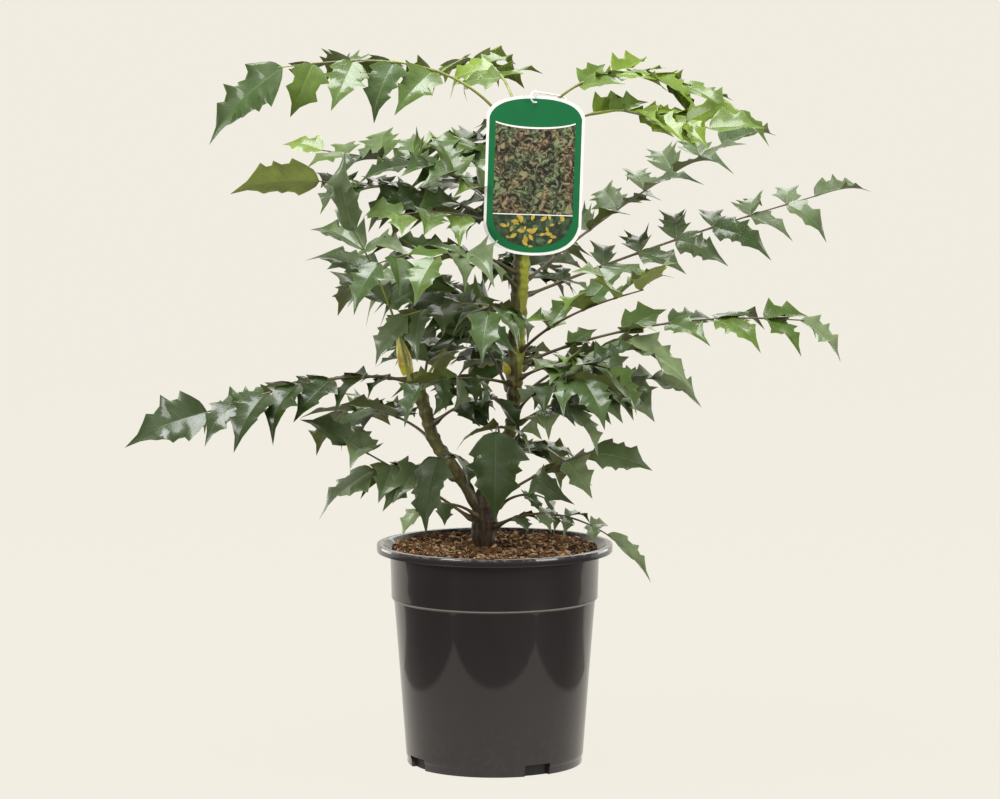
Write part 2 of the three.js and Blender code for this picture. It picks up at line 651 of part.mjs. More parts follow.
// Each frond: its stalk, and every leaflet that finds a clear place
FRONDS.forEach((frond, n) => {
  let solid = toSolid(buildStalk(stalks[n]));
  for (const plan of leafletPlans(frond, n)) {
    const frames = LEAFLET_TRIES.map(([lift, turn]) => leafletFrame(stalks[n], plan, lift, turn));
    const clear = frames.find((frame) => {
      const grown = toSolid(buildLeaflet(frame, plan.length, plan.droop, LEAFLET_CLEARANCE));
      return !touches(obstacle(grown, n), obstacles);
    });
    if (!clear) continue;
    const leaflet = toSolid(buildLeaflet(clear, plan.length, plan.droop));
    solid = solid.add(leaflet);
    obstacles.push(obstacle(leaflet, n));
  }
  place(frond.name, toGeometry(solid), MATERIALS.frond);
});

export default part;
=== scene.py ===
"""A Japanese mahonia in a nursery pot: bark, fronds of spiny leaflets, potting mix, pot and tag.

Run as a script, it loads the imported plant, makes each detailed piece where its solid is and
sets the stage. Metres, +Z up, the origin at the centre of the pot's flat underside. The
growing rule of canes, stalks and leaflets is the solids' own, with its sizes in millimetres.
"""

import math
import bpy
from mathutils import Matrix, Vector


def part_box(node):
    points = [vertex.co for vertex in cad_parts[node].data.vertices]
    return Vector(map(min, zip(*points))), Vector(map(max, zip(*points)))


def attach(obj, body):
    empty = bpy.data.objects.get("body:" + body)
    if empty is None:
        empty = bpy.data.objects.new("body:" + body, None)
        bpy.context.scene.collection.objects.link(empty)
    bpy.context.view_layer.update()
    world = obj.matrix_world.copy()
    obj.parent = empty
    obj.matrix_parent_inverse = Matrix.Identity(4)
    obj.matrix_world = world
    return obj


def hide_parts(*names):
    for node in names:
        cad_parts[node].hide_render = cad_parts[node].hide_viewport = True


bl_info = {
    "name": "Potted Japanese mahonia",
    "version": (1, 0, 0),
    "blender": (4, 5, 0),
    "location": "3D View > Sidebar > Mahonia",
    "description": "Makes the bark, fronds, soil, pot and tag of a potted mahonia round its solids",
    "category": "Add Mesh",
}

import bmesh
import bpy
import numpy as np
from bpy.props import FloatProperty, FloatVectorProperty, IntProperty, PointerProperty
from mathutils import Vector

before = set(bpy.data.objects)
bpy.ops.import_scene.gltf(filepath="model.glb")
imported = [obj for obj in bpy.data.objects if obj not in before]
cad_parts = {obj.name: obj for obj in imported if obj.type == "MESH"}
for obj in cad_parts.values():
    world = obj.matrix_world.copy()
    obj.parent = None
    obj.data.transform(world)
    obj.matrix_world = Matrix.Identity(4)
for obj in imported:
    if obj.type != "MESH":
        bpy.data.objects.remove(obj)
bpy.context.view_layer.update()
MM = 0.001
UP = np.array([0.0, 0.0, 1.0])
BACK = np.array([0.0, 1.0, 0.0])

# Canes in millimetres: x, y, z and radius, from the foot up
SOIL_TOP = 206.5
GAP = 0.3
MAIN_CANE = np.array([
    [-10.5, 0, SOIL_TOP + GAP, 9.2],
    [-10.5, 0, 216, 11],
    [-10, 0, 232, 12.2],
    [-8, 0, 252, 11.6],
    [-2, 0, 272, 9.2],
    [7, 0, 294, 7.2],
    [16.5, 0, 324, 6.4],
    [18.5, 0, 350, 6.6],
    [22, 0, 424, 7.8],
    [25.5, 0, 487, 7.4],
    [27, 0, 540, 6.6],
    [27, 0, 590, 5.4],
])
LEFT_CANE = np.array([
    [-12, -2, 236, 5.6],
    [-22, -3.5, 256, 5.8],
    [-37, -5, 282, 6],
    [-56, -6, 308, 6],
    [-66, -6, 340, 6.2],
    [-72, -6, 358, 6.6],
    [-78, -6, 374, 6.4],
])
CANES = {"main": MAIN_CANE, "left": LEFT_CANE}

# Stalks and leaflets in millimetres, degrees and shares of a leaflet's length
STALK_STEPS = 6
LEAFLET_HALF_WIDTH = 0.29
PAIR_FORWARD = 62
PAIR_OFFSET = 0.15
LENGTH_LOW = 0.82
LENGTH_SWELL = 0.3
LENGTH_JITTER = 0.12
LIFT_JITTER = 12
TURN_JITTER = 8
DROOP = 38
DROOP_JITTER = 24
END_ROOT = 4
END_DROOP = 30
LEAFLET_TRIES = [(0, 0), (20, 0), (-20, 0), (0, 18), (38, 0), (-38, 0), (0, -18)]
TIP_TOLERANCE = 0.3 * MM

# Each frond: its name, its cane and the height where the stalk leaves it; its heading in degrees,
# 0 to the right and 90 to the back; the stalk's elevation at its root, middle and tip; its
# length; the share with no leaflets; how many pairs and how long a leaflet; how far both rows
# hang; how far the front row rolls down and the back row up; the end leaflet's droop, length
# and roll
FRONDS = [
    ("top_left", "main", 582, 183, (78, 13, -6), 262, 0.42, 4, 50, 24, 38, (30, 104, 50)),
    ("top_back_left", "main", 588, 112, (86, 20, -2), 196, 0.4, 3, 44, 6, 20, (10, 56, 10)),
    ("top_right_upper", "main", 574, 8, (92, 6, -34), 256, 0.34, 5, 44, 20, 36, (26, 46, 20)),
    ("top_right_lower", "main", 560, -7, (84, 7, -16), 204, 0.42, 4, 42, 14, 24, (4, 54, 40)),
    ("right_high", "main", 462, 34, (34, 28, 22), 266, 0.3, 5, 52, -16, 2, (4, 74, 20)),
    ("right_long", "main", 448, 17, (20, 17, 14), 308, 0.24, 6, 48, 6, 26, (-2, 64, 20)),
    ("right_middle", "main", 384, -8, (24, 9, -4), 272, 0.34, 4, 52, 4, 26, (30, 56, 20)),
    ("right_front", "main", 396, -50, (36, 20, 14), 186, 0.5, 2, 56, -40, 0, (-30, 58, 0)),
    ("right_low_upper", "main", 352, -20, (40, 28, 12), 124, 0.36, 2, 54, 12, 16, (16, 80, 20)),
    ("right_low", "main", 326, -12, (34, 20, 4), 140, 0.34, 3, 50, 10, 12, (22, 56, 20)),
    ("right_foot", "main", 258, -18, (34, 27, 18), 108, 0.34, 2, 46, 24, 14, (26, 60, 50)),
    ("right_over_rim", "main", 228, -22, (32, -3, -30), 122, 0.16, 4, 26, 10, 10, (8, 62, 30)),
    ("right_sprig", "main", 246, 8, (46, 8, -30), 52, 0.5, 1, 22, 10, 10, (40, 42, 10)),
    ("left_high", "main", 494, 173, (54, 12, 6), 206, 0.32, 4, 46, 6, 10, (2, 86, -45)),
    ("left_back_high", "main", 524, 160, (42, 12, 8), 212, 0.34, 4, 48, 4, 26, (-12, 46, 30)),
    ("back_left_top", "main", 536, 124, (56, 22, 4), 140, 0.4, 3, 42, 10, 8, (18, 58, 0)),
    ("left_upright", "left", 366, 222, (78, 64, 54), 168, 0.46, 3, 64, 4, 0, (-12, 76, 0)),
    ("left_cluster", "main", 432, 204, (22, -2, -14), 112, 0.4, 3, 48, 18, 10, (30, 56, 20)),
    ("left_long", "left", 370, 190, (12, -11, -16), 198, 0.18, 5, 50, 20, 16, (-2, 86, 50)),
    ("left_foot_long", "main", 233, 182, (36, 32, 28), 140, 0.82, 1, 46, -24, 0, (-8, 54, 40)),
    ("left_low", "left", 276, 192, (38, 4, -6), 84, 0.4, 2, 44, 16, 10, (24, 72, 30)),
    ("left_sprig", "main", 238, 226, (34, 8, -14), 84, 0.5, 1, 28, 20, 6, (24, 32, 10)),
    ("inner_left", "left", 362, 12, (62, 48, 24), 86, 0.6, 2, 44, 10, 20, (6, 62, 20)),
    ("inner_high", "main", 356, 150, (66, 50, 30), 104, 0.5, 2, 42, 8, 10, (10, 52, 10)),
    ("front_foot", "main", 292, 267, (58, 22, -16), 104, 0.52, 1, 40, 20, 0, (56, 84, 0)),
    ("front_left_foot", "main", 262, 238, (56, 26, -12), 98, 0.5, 1, 42, 24, 0, (54, 74, 0)),
    ("front_middle", "main", 364, 230, (14, 4, -4), 132, 0.3, 3, 40, 26, 6, (40, 46, 0)),
    ("front_right", "main", 338, -58, (40, 18, -2), 128, 0.4, 3, 46, 20, 0, (36, 56, 0)),
    ("front_left_high", "main", 504, 204, (34, 6, -12), 146, 0.38, 3, 48, 18, 8, (26, 56, 20)),
    ("front_high", "main", 456, 238, (38, 14, -8), 150, 0.42, 3, 48, 18, 6, (30, 56, 0)),
    ("front_centre", "main", 412, 258, (36, 14, -10), 132, 0.46, 2, 46, 20, 0, (36, 54, 0)),
    ("back_top", "main", 550, 88, (58, 12, -14), 214, 0.36, 4, 48, 14, 0, (24, 70, 0)),
    ("back_high", "main", 478, 108, (42, 16, 2), 232, 0.3, 4, 54, 12, 4, (16, 74, 0)),
    ("back_right", "main", 430, 84, (30, 12, 0), 220, 0.3, 4, 52, 14, 0, (16, 70, 0)),
    ("back_middle", "main", 404, 128, (34, 10, -4), 236, 0.28, 4, 54, 14, 4, (18, 74, 0)),
    ("back_low", "main", 342, 96, (30, 10, -8), 208, 0.3, 4, 50, 16, 0, (22, 72, 0)),
    ("back_left", "left", 350, 86, (36, 12, -8), 186, 0.32, 3, 54, 14, 0, (22, 72, 0)),
    ("back_left_low", "left", 312, 128, (26, 4, -10), 150, 0.34, 3, 48, 14, 4, (24, 66, 0)),
    ("back_foot", "main", 270, 66, (34, 8, -12), 128, 0.36, 3, 44, 18, 0, (26, 62, 0)),
    ("inner_left_top", "main", 512, 186, (60, 30, 6), 122, 0.36, 3, 46, 14, 14, (16, 56, 20)),
    ("inner_left_middle", "main", 470, 222, (30, 4, -14), 176, 0.34, 4, 46, 16, 10, (30, 56, 0)),
    ("inner_right", "main", 370, -44, (26, 8, -10), 118, 0.4, 3, 46, 16, 8, (26, 56, 0)),
    ("inner_right_low", "main", 304, -44, (56, 30, 4), 92, 0.44, 2, 44, 16, 8, (20, 58, 0)),
    ("inner_left_low", "left", 326, 334, (40, 22, -4), 72, 0.4, 2, 36, 20, 10, (36, 44, 0)),
]
FROND_FIELDS = ("name", "cane", "height", "heading", "rise", "length", "bare", "pairs", "leaflet",
                "hang", "roll", "end")
FRONDS = [dict(zip(FROND_FIELDS, row)) for row in FRONDS]

# Where fronds differ from their solids, by name or by how a name starts: fronds that bear more
# leaflets between their pairs, fronds with a small pair near the cane, fronds whose rows give up
# LEVEL_SHARE of their hang, fronds on yellow-green stalks, and steep fronds whose leaflets turn
# their faces to the sky
CROWN_FRONDS = ("left_high", "back_", "inner_high", "inner_right", "inner_left_low",
                "front_middle", "front_right", "front_centre", "right_low", "left_low",
                "top_back_left", "top_right")
ROOT_FRONDS = ("right_long", "right_high", "right_middle", "right_front", "left_long", "left_high")
LEVEL_FRONDS = ("left_cluster", "left_back_high", "back_", "inner_", "front_left_high",
                "front_high")
GREEN_STALKS = ("top_left", "left_upright", "left_cluster", "inner_left")
TURNED_FRONDS = ("left_upright", "right_front")
LEVEL_SHARE = 0.8
TURN_UP = 2.2

# Shares of the full width, for end leaflets and for pairs, and of the length for all pairs
SLIM_ENDS = {"top_left": 0.75, "right_over_rim": 0.5, "left_upright": 0.85, "right_long": 0.8}
SLIM_PAIRS = {"top_left": 1.12, "left_upright": 0.85, "right_high": 0.85, "right_long": 0.85,
              "top_right_upper": 0.85, "top_right_lower": 0.85}
LENGTH_GROWN = 1.1

# Degrees by which the back row and the front row are raised, the usual ones first, and the
# uneven hang of leaflets in every front row
USUAL_LIFTS = (5, 0)
ROW_LIFTS = {
    "top_left": (-18, 12),
    "top_right_upper": (-4, 30),
    "top_right_lower": (0, 22),
    "right_high": (5, 8),
    "right_long": (13, 2),
    "right_middle": (0, 14),
    "left_long": (5, 6),
}
FRONT_UNEVEN = (-8, 12)

# Degrees by which both rows swing away from the stalk, or closer to it when negative, and by
# which the end leaflet is raised. Then the share that is left of the leaflets' sag
ROW_TURNS = {"top_right_upper": -20, "top_right_lower": -20, "top_left": 8, "right_middle": -22,
             "left_long": -18}
END_LIFTS = {"top_right_upper": 16, "top_right_lower": 24}
DROOP_SHARES = {"top_right_upper": 0.4, "top_right_lower": 0.4}

# Leaflets between pairs hang lower by BETWEEN_HANG and by BETWEEN_SWING times a sine of their
# length, in degrees. They and the pair near the cane have a share of the pairs' length
BETWEEN_SWING = 26
BETWEEN_HANG = 12
BETWEEN_LENGTH = 0.9
ROOT_PAIR_LENGTH = 0.66

# Leaf tones. Each frond has one, and its leaflets are dealt that tone or one near it
TONE_MIX = {
    "bright": ("bright", "bright", "fresh"),
    "fresh": ("fresh", "bright", "fresh", "mid"),
    "mid": ("mid", "mid", "deep", "fresh"),
    "deep": ("deep", "deep", "dark", "mid", "grey"),
    "dark": ("dark", "dark", "deep"),
    "grey": ("grey", "grey", "grey", "deep"),
    "pale": ("pale", "pale", "pale", "grey"),
}
END_TONES = {
    "top_left": "deep",
    "left_back_high": "bright",
    "front_foot": "dark",
    "front_left_foot": "dark",
    "left_long": "dark",
    "left_high": "fresh",
    "right_over_rim": "pale",
    "right_middle": "pale",
    "front_centre": "deep",
}
USUAL_TONE = "deep"
YOUNG_TONES = ("bright", "fresh")
FRONDS_BY_TONE = {
    "bright": ("top_back_left", "top_right_upper", "top_right_lower"),
    "fresh": ("back_top",),
    "mid": ("top_left", "left_back_high", "back_left_top", "inner_left_top", "front_left_high",
            "right_middle", "right_front", "inner_right"),
    "grey": ("right_high", "right_long", "left_low", "left_upright", "left_cluster"),
    "pale": ("right_low", "right_low_upper", "right_foot", "right_over_rim", "left_foot_long",
             "left_sprig", "inner_right_low"),
    "dark": ("left_long", "inner_left_low"),
}
FROND_TONES = {name: tone for tone, names in FRONDS_BY_TONE.items() for name in names}


# Settings


def length_setting(name, description, default, **more):
    """A size property, in metres."""
    return FloatProperty(name=name, description=description, default=default, unit="LENGTH",
                         **more)


def share_setting(name, description, default, most=1.0):
    """A share property, from 0 to its most."""
    return FloatProperty(name=name, description=description, default=default, min=0, max=most,
                         subtype="FACTOR")


def colour_setting(name, description, default):
    """A colour property, in linear red, green and blue."""
    return FloatVectorProperty(name=name, description=description, default=default,
                               subtype="COLOR")


class PotSettings(bpy.types.PropertyGroup):
    """Sizes and colours of the pot"""
    height: length_setting("Height", "From the foot to the top of the rim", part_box("pot")[1][2])
    rim_radius: length_setting("Rim radius", "Outside of the rim lip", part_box("pot")[1][0])
    sides: IntProperty(name="Sides", description="Facets round the pot", default=144, min=32)
    colour: colour_setting("Plastic", "Black plastic of the pot", (0.0158, 0.0122, 0.0132))
    # The pale colour of dust, also used for the painted highlights on the rim's top and on the
    # ledge's row
    dust_and_highlight_colour: colour_setting("Dust", "Dried dust on the plastic", (0.3, 0.28, 0.25))


class SoilSettings(bpy.types.PropertyGroup):
    """Sizes and colours of the potting mix"""
    chips: IntProperty(name="Chips", description="How many chips lie on the soil", default=9800,
                       min=0)
    chip_size: length_setting("Chip size", "What a chip's three sizes are shares of", 0.0026)
    seed: IntProperty(name="Seed", description="Seed of the chips' places", default=7)
    dark: colour_setting("Dark", "Damp mix between the chips", (0.022, 0.012, 0.007))
    brown: colour_setting("Brown", "Bark chips", (0.15, 0.073, 0.029))
    tan: colour_setting("Tan", "Dry fibre and wood chips", (0.42, 0.28, 0.15))


class CaneSettings(bpy.types.PropertyGroup):
    """Relief and colours of the canes' bark"""
    node_swell: length_setting("Node swelling", "Height of a leaf-scar ring", 0.0011)
    fissure: length_setting("Fissures", "Depth of the bark's splits at the foot", 0.0009)
    bark: colour_setting("Bark", "Dark brown bark of the foot", (0.03, 0.019, 0.01))
    olive: colour_setting("Olive", "Young bark higher up", (0.105, 0.1, 0.03))
    green: colour_setting("Green", "Yellow-green stem at the top", (0.36, 0.38, 0.03))


class BudSettings(bpy.types.PropertyGroup):
    """Relief and colours of the buds"""
    scales: IntProperty(name="Scales", description="Bud scales along a bud", default=4, min=1)
    yellow: colour_setting("Yellow", "Yellow-green of the scales", (0.46, 0.42, 0.03))
    red: colour_setting("Red", "Reddish patches of the scales", (0.2, 0.06, 0.02))


class FrondSettings(bpy.types.PropertyGroup):
    """Sizes and colours of stalks and leaflets"""
    stalk_base: length_setting("Stalk base", "Radius where a stalk leaves its cane", 0.0016)
    stalk_tip: length_setting("Stalk tip", "Radius at a stalk's end", 0.0006)
    scallop: share_setting("Scallop", "How deep the margin cuts between spines", 0.38, 0.8)
    wave: share_setting("Wave", "Rise of the spines, as a share of the length", 0.105, 0.2)
    dark: colour_setting("Dark", "Darkest leaflets, low on the plant", (0.021, 0.038, 0.006))
    deep: colour_setting("Deep", "Old dark leaflets", (0.039, 0.07, 0.015))
    mid: colour_setting("Mid", "Middle-aged leaflets", (0.056, 0.097, 0.014))
    grey: colour_setting("Grey", "Waxy grey-green leaflets", (0.07, 0.101, 0.038))
    pale: colour_setting("Pale", "Lighter waxy leaflets", (0.135, 0.178, 0.08))
    fresh: colour_setting("Fresh", "Young green leaflets", (0.074, 0.122, 0.014))
    bright: colour_setting("Bright", "Youngest yellow-green leaflets", (0.11, 0.17, 0.013))
    under: colour_setting("Underside", "Yellow-olive lower face", (0.2, 0.245, 0.055))
    stalk: colour_setting("Stalk", "Olive-brown stalks", (0.1, 0.075, 0.03))
    young_stalk: colour_setting("Young stalk", "Yellow-green stalks", (0.22, 0.26, 0.04))


class TagSettings(bpy.types.PropertyGroup):
    """Sizes and colours of the hang tag and its loop"""
    border: length_setting("Border", "White edge round the print", 0.0026)
    band: length_setting("Band", "From the tag's edge to the panel, past the green band", 0.0085)
    ink: length_setting("Ink", "Height of each printed layer", 0.00012, precision=5)
    white: colour_setting("White", "Plastic of the tag and loop", (0.82, 0.83, 0.8))
    green: colour_setting("Green", "Printed band and header", (0.002, 0.13, 0.038))
    panel: colour_setting("Panel", "Printed foliage pattern", (0.07, 0.085, 0.04))
    panel_brown: colour_setting("Panel brown", "Browner part of that pattern",
                                (0.092, 0.068, 0.037))
    strip: colour_setting("Strip", "Dark strip under the panel", (0.02, 0.032, 0.016))
    leaf: colour_setting("Leaf", "Printed ochre leaves", (0.5, 0.36, 0.05))


class StageSettings(bpy.types.PropertyGroup):
    """Camera, floor and light"""
    distance: length_setting("Distance", "From the camera to the plant", 3.8)
    elevation: FloatProperty(name="Elevation", description="How far the camera looks down",
                             default=math.radians(6.1), subtype="ANGLE")
    lens: FloatProperty(name="Lens", description="Focal length in millimetres", default=144.0)
    backdrop: colour_setting("Backdrop", "Pale paper behind and below", (0.89, 0.85, 0.76))
    glow: FloatProperty(name="Glow", description="Strength of the light that the paper gives off",
                        default=0.985)
    spent: share_setting("Spent glow", "Share of the glow that lights nothing", 0.45)
    sky: colour_setting("Room", "Light that comes from all round", (1.0, 0.99, 0.97))
    sky_strength: FloatProperty(name="Room strength", description="Strength of that light",
                                default=0.4)


# Meshes

WELD_DISTANCE = 1e-6


def grid_faces(rows, columns, wrap=False, flip=False):
    """The quads of a grid: each joins (i, j), (i+1, j), (i+1, j+1) and (i, j+1). With wrap, the
    last column meets the first, and with flip the quads face the other way, with the same
    diagonals."""
    i, j = np.meshgrid(np.arange(rows - 1), np.arange(columns if wrap else columns - 1),
                       indexing="ij")
    k = (j + 1) % columns
    corners = [i * columns + j, (i + 1) * columns + j, (i + 1) * columns + k, i * columns + k]
    quads = np.stack(corners, axis=-1).reshape(-1, 4)
    return quads[:, [0, 3, 2, 1]] if flip else quads


class Shape:
    """Grids of points and their faces, gathered into one mesh."""

    def __init__(self):
        self.points = []
        self.faces = []
        self.slots = []
        self.maps = []
        self.count = 0

    def add(self, points, faces, slot=0, uv=None):
        """Adds points of shape (n, 3) and faces that count from the first of them."""
        points = np.reshape(points, (-1, 3))
        self.points.append(points)
        self.faces.append(np.asarray(faces) + self.count)
        self.slots.append(np.full(len(faces), slot) if np.isscalar(slot) else slot)
        self.maps.append(np.zeros((len(points), 2)) if uv is None else np.reshape(uv, (-1, 2)))
        self.count += len(points)

    def tube(self, rings, closed=False):
        """A skin over rings of points, with a flat cap on each end unless it closes on itself."""
        rows, columns, _ = rings.shape
        if closed:
            rings = np.concatenate([rings, rings[:1]])
            self.add(rings, grid_faces(rows + 1, columns, wrap=True, flip=True))
            return
        self.add(rings, grid_faces(rows, columns, wrap=True, flip=True))
        spokes = np.arange(columns)
        fan = np.stack([np.full(columns, columns), spokes, (spokes + 1) % columns], axis=1)
        for ring, turned in ((rings[0], True), (rings[-1], False)):
            points = np.vstack([ring, ring.mean(axis=0)])
            self.add(points, fan[:, ::-1] if turned else fan)

    def build(self, name, materials, angle):
        """The mesh object, smooth where neighbouring faces meet within the angle in degrees."""
        mesh = bpy.data.meshes.new(name)
        points = np.concatenate(self.points)
        corners = np.concatenate([f.ravel() for f in self.faces]).astype(np.int32)
        sizes = np.concatenate([np.full(len(f), f.shape[1]) for f in self.faces])
        mesh.vertices.add(len(points))
        mesh.vertices.foreach_set("co", points.ravel().astype(np.float32))
        mesh.loops.add(len(corners))
        mesh.loops.foreach_set("vertex_index", corners)
        mesh.polygons.add(len(sizes))
        mesh.polygons.foreach_set("loop_start", (np.cumsum(sizes) - sizes).astype(np.int32))
        mesh.update(calc_edges=True)
        mesh.polygons.foreach_set("material_index", np.concatenate(self.slots).astype(np.int32))
        mesh.polygons.foreach_set("use_smooth", np.ones(len(sizes), dtype=bool))
        layer = mesh.uv_layers.new(name="UVMap")
        layer.uv.foreach_set("vector", np.concatenate(self.maps)[corners].ravel().astype(np.float32))
        mesh.update()
        obj = bpy.data.objects.new(name, mesh)
        bpy.context.scene.collection.objects.link(obj)
        for look in materials:
            mesh.materials.append(look)
        weld(mesh)
        mesh.set_sharp_from_angle(angle=math.radians(angle))
        return obj


def weld(mesh):
    """Joins points that lie on each other, so that caps and poles are closed."""
    work = bmesh.new()
    work.from_mesh(mesh)
    bmesh.ops.remove_doubles(work, verts=work.verts, dist=WELD_DISTANCE)
    work.to_mesh(mesh)
    work.free()


def smooth(points, shares):
    """Points on a curve through given points, by Catmull and Rom's cubic: between two points its
    slopes there are half the step from the point before to the point after. Shares run from 0
    at the first point to 1 at the last."""
    last = len(points) - 1
    padded = np.vstack([2 * points[0] - points[1], points, 2 * points[-1] - points[-2]])
    place = np.clip(shares, 0, 1) * last
    n = np.minimum(place.astype(int), last - 1)
    t = (place - n)[:, None]
    a, b, c, d = padded[n], padded[n + 1], padded[n + 2], padded[n + 3]
    return (2 * b + (c - a) * t + (2 * a - 5 * b + 4 * c - d) * t**2
            + (3 * b - a - 3 * c + d) * t**3) / 2


def unit(vectors):
    """Vectors scaled to length one."""
    return vectors / np.linalg.norm(vectors, axis=-1, keepdims=True)


def around(sides):
    """Angles in radians, spread evenly round a circle."""
    return 2 * np.pi * np.arange(sides) / sides


def bell(distance, width):
    """A bell curve: e to minus the square of the distance over the width."""
    return np.exp(-(distance / width) ** 2)


def rings_round(path, first, radii, sides, along=None):
    """Rings of points square to a path: path + radius (cos t u + sin t v), where u is the part of
    `first` square to the path and v is the path's direction crossed with u. radii is one number
    a ring, or one for each point. The direction comes from neighbouring points unless given."""
    along = unit(np.gradient(path, axis=0)) if along is None else along
    first = np.broadcast_to(first, path.shape)
    u = unit(first - along * np.sum(first * along, axis=1, keepdims=True))
    v = np.cross(along, u)
    turn = around(sides)
    radii = np.broadcast_to(np.reshape(radii, (len(path), -1)), (len(path), sides))
    across = (np.cos(turn)[None, :, None] * u[:, None] + np.sin(turn)[None, :, None] * v[:, None])
    return path[:, None] + radii[..., None] * across


def hum(*terms):
    """A smooth uneven wave from -1 to 1: the mean of sines of the given phases."""
    return sum(np.sin(term) for term in terms) / len(terms)


# Node groups and materials


class Nodes:
    """Short calls for adding and joining the nodes of one tree."""

    def __init__(self, tree):
        self.tree = tree

    def add(self, kind, values=None, **settings):
        """A new node with its own settings and its sockets' values."""
        node = self.tree.nodes.new(kind)
        for key, value in settings.items():
            setattr(node, key, value)
        for key, value in (values or {}).items():
            self.put(node.inputs[key], value)
        return node

    def put(self, socket, value):
        """Joins another socket to this one, or sets it to a value. A colour gets its alpha."""
        if isinstance(value, bpy.types.NodeSocket):
            self.tree.links.new(value, socket)
        elif hasattr(socket.default_value, "__len__") and len(socket.default_value) == 4:
            socket.default_value = (*value, 1.0) if len(value) == 3 else value
        else:
            socket.default_value = value

    def noise(self, vector, scale, detail=3.0, roughness=0.5, distortion=0.0):
        """The grey value of a noise."""
        return self.add("ShaderNodeTexNoise", {"Vector": vector, "Scale": scale, "Detail": detail,
                                               "Roughness": roughness,
                                               "Distortion": distortion}).outputs["Fac"]

    def maths(self, operation, a, b=0.0):
        """One operation on two numbers."""
        return self.add("ShaderNodeMath", {0: a, 1: b}, operation=operation).outputs[0]

    def span(self, value, low, high, out_low=0.0, out_high=1.0):
        """A value taken from one range to another and kept inside it, smooth at both ends."""
        return self.add("ShaderNodeMapRange", {"Value": value, "From Min": low, "From Max": high,
                                               "To Min": out_low, "To Max": out_high},
                        interpolation_type="SMOOTHSTEP").outputs["Result"]

    def mix(self, share, a, b):
        """A colour between two, the second at share 1."""
        node = self.add("ShaderNodeMix", {"Factor": share, "A": a, "B": b}, data_type="RGBA")
        return node.outputs["Result"]

    def stretch(self, vector, scale):
        """Coordinates scaled along each axis."""
        return self.add("ShaderNodeMapping", {"Vector": vector, "Scale": scale}).outputs["Vector"]

    def axes(self, vector):
        """The X, Y and Z of a vector."""
        return self.add("ShaderNodeSeparateXYZ", {"Vector": vector}).outputs

    def bump(self, height, strength, distance):
        """A normal tilted by a height."""
        return self.add("ShaderNodeBump", {"Height": height, "Strength": strength,
                                           "Distance": distance}).outputs["Normal"]

    def group(self, name, values):
        """The outputs of a shared node group."""
        return self.add("ShaderNodeGroup", values, node_tree=GROUPS[name]).outputs

    def mottle(self, vector, colour, patch, size, share, grain):
        """The shared mottle: patches of a second colour of a size and share, and a grain."""
        return self.group("mottle", {"Vector": vector, "Colour": colour, "Patch": patch,
                                     "Size": size, "Share": share, "Grain": grain})

    def rise(self, vector, low, high, ragged):
        """The shared height blend, from 0 at the low height to 1 at the high one."""
        return self.group("height", {"Vector": vector, "Low": low, "High": high,
                                     "Ragged": ragged})["Share"]


def node_group(name, inputs, outputs):
    """A new shader node group with named sockets, given as (name, kind, default)."""
    tree = bpy.data.node_groups.new(name, "ShaderNodeTree")
    for label, kind, default in inputs:
        socket = tree.interface.new_socket(label, in_out="INPUT", socket_type=kind)
        if default is not None:
            socket.default_value = default
    for label, kind in outputs:
        tree.interface.new_socket(label, in_out="OUTPUT", socket_type=kind)
    nodes = Nodes(tree)
    return nodes, nodes.add("NodeGroupInput").outputs, nodes.add("NodeGroupOutput").inputs


def mottle_group():
    """Patches of a second colour, and fine grain for bump: two noises, one coarse and one fine."""
    nodes, given, out = node_group(
        "mottle",
        [("Vector", "NodeSocketVector", None), ("Colour", "NodeSocketColor", (0.5, 0.5, 0.5, 1)),
         ("Patch", "NodeSocketColor", (0.4, 0.4, 0.4, 1)), ("Size", "NodeSocketFloat", 40.0),
         ("Share", "NodeSocketFloat", 0.5), ("Grain", "NodeSocketFloat", 900.0)],
        [("Colour", "NodeSocketColor"), ("Mask", "NodeSocketFloat"), ("Grain", "NodeSocketFloat")])
    coarse = nodes.noise(given["Vector"], given["Size"], 4.0, 0.6)
    mask = nodes.span(coarse, 0.4, 0.65)
    nodes.put(out["Colour"], nodes.mix(nodes.maths("MULTIPLY", mask, given["Share"]),
                                       given["Colour"], given["Patch"]))
    nodes.put(out["Mask"], mask)
    nodes.put(out["Grain"], nodes.noise(given["Vector"], given["Grain"], 2.0))
    return nodes.tree


def height_group():
    """A share that runs from 0 at one height to 1 at another, with a ragged edge."""
    nodes, given, out = node_group(
        "height_blend",
        [("Vector", "NodeSocketVector", None), ("Low", "NodeSocketFloat", 0.0),
         ("High", "NodeSocketFloat", 1.0), ("Ragged", "NodeSocketFloat", 0.02)],
        [("Share", "NodeSocketFloat")])
    height = nodes.axes(given["Vector"])["Z"]
    wander = nodes.maths("SUBTRACT", nodes.noise(given["Vector"], 70.0), 0.5)
    ragged = nodes.maths("ADD", height, nodes.maths("MULTIPLY", wander, given["Ragged"]))
    share = nodes.add("ShaderNodeMapRange", {"Value": ragged, "From Min": given["Low"],
                                             "From Max": given["High"]}).outputs["Result"]
    nodes.put(out["Share"], share)
    return nodes.tree


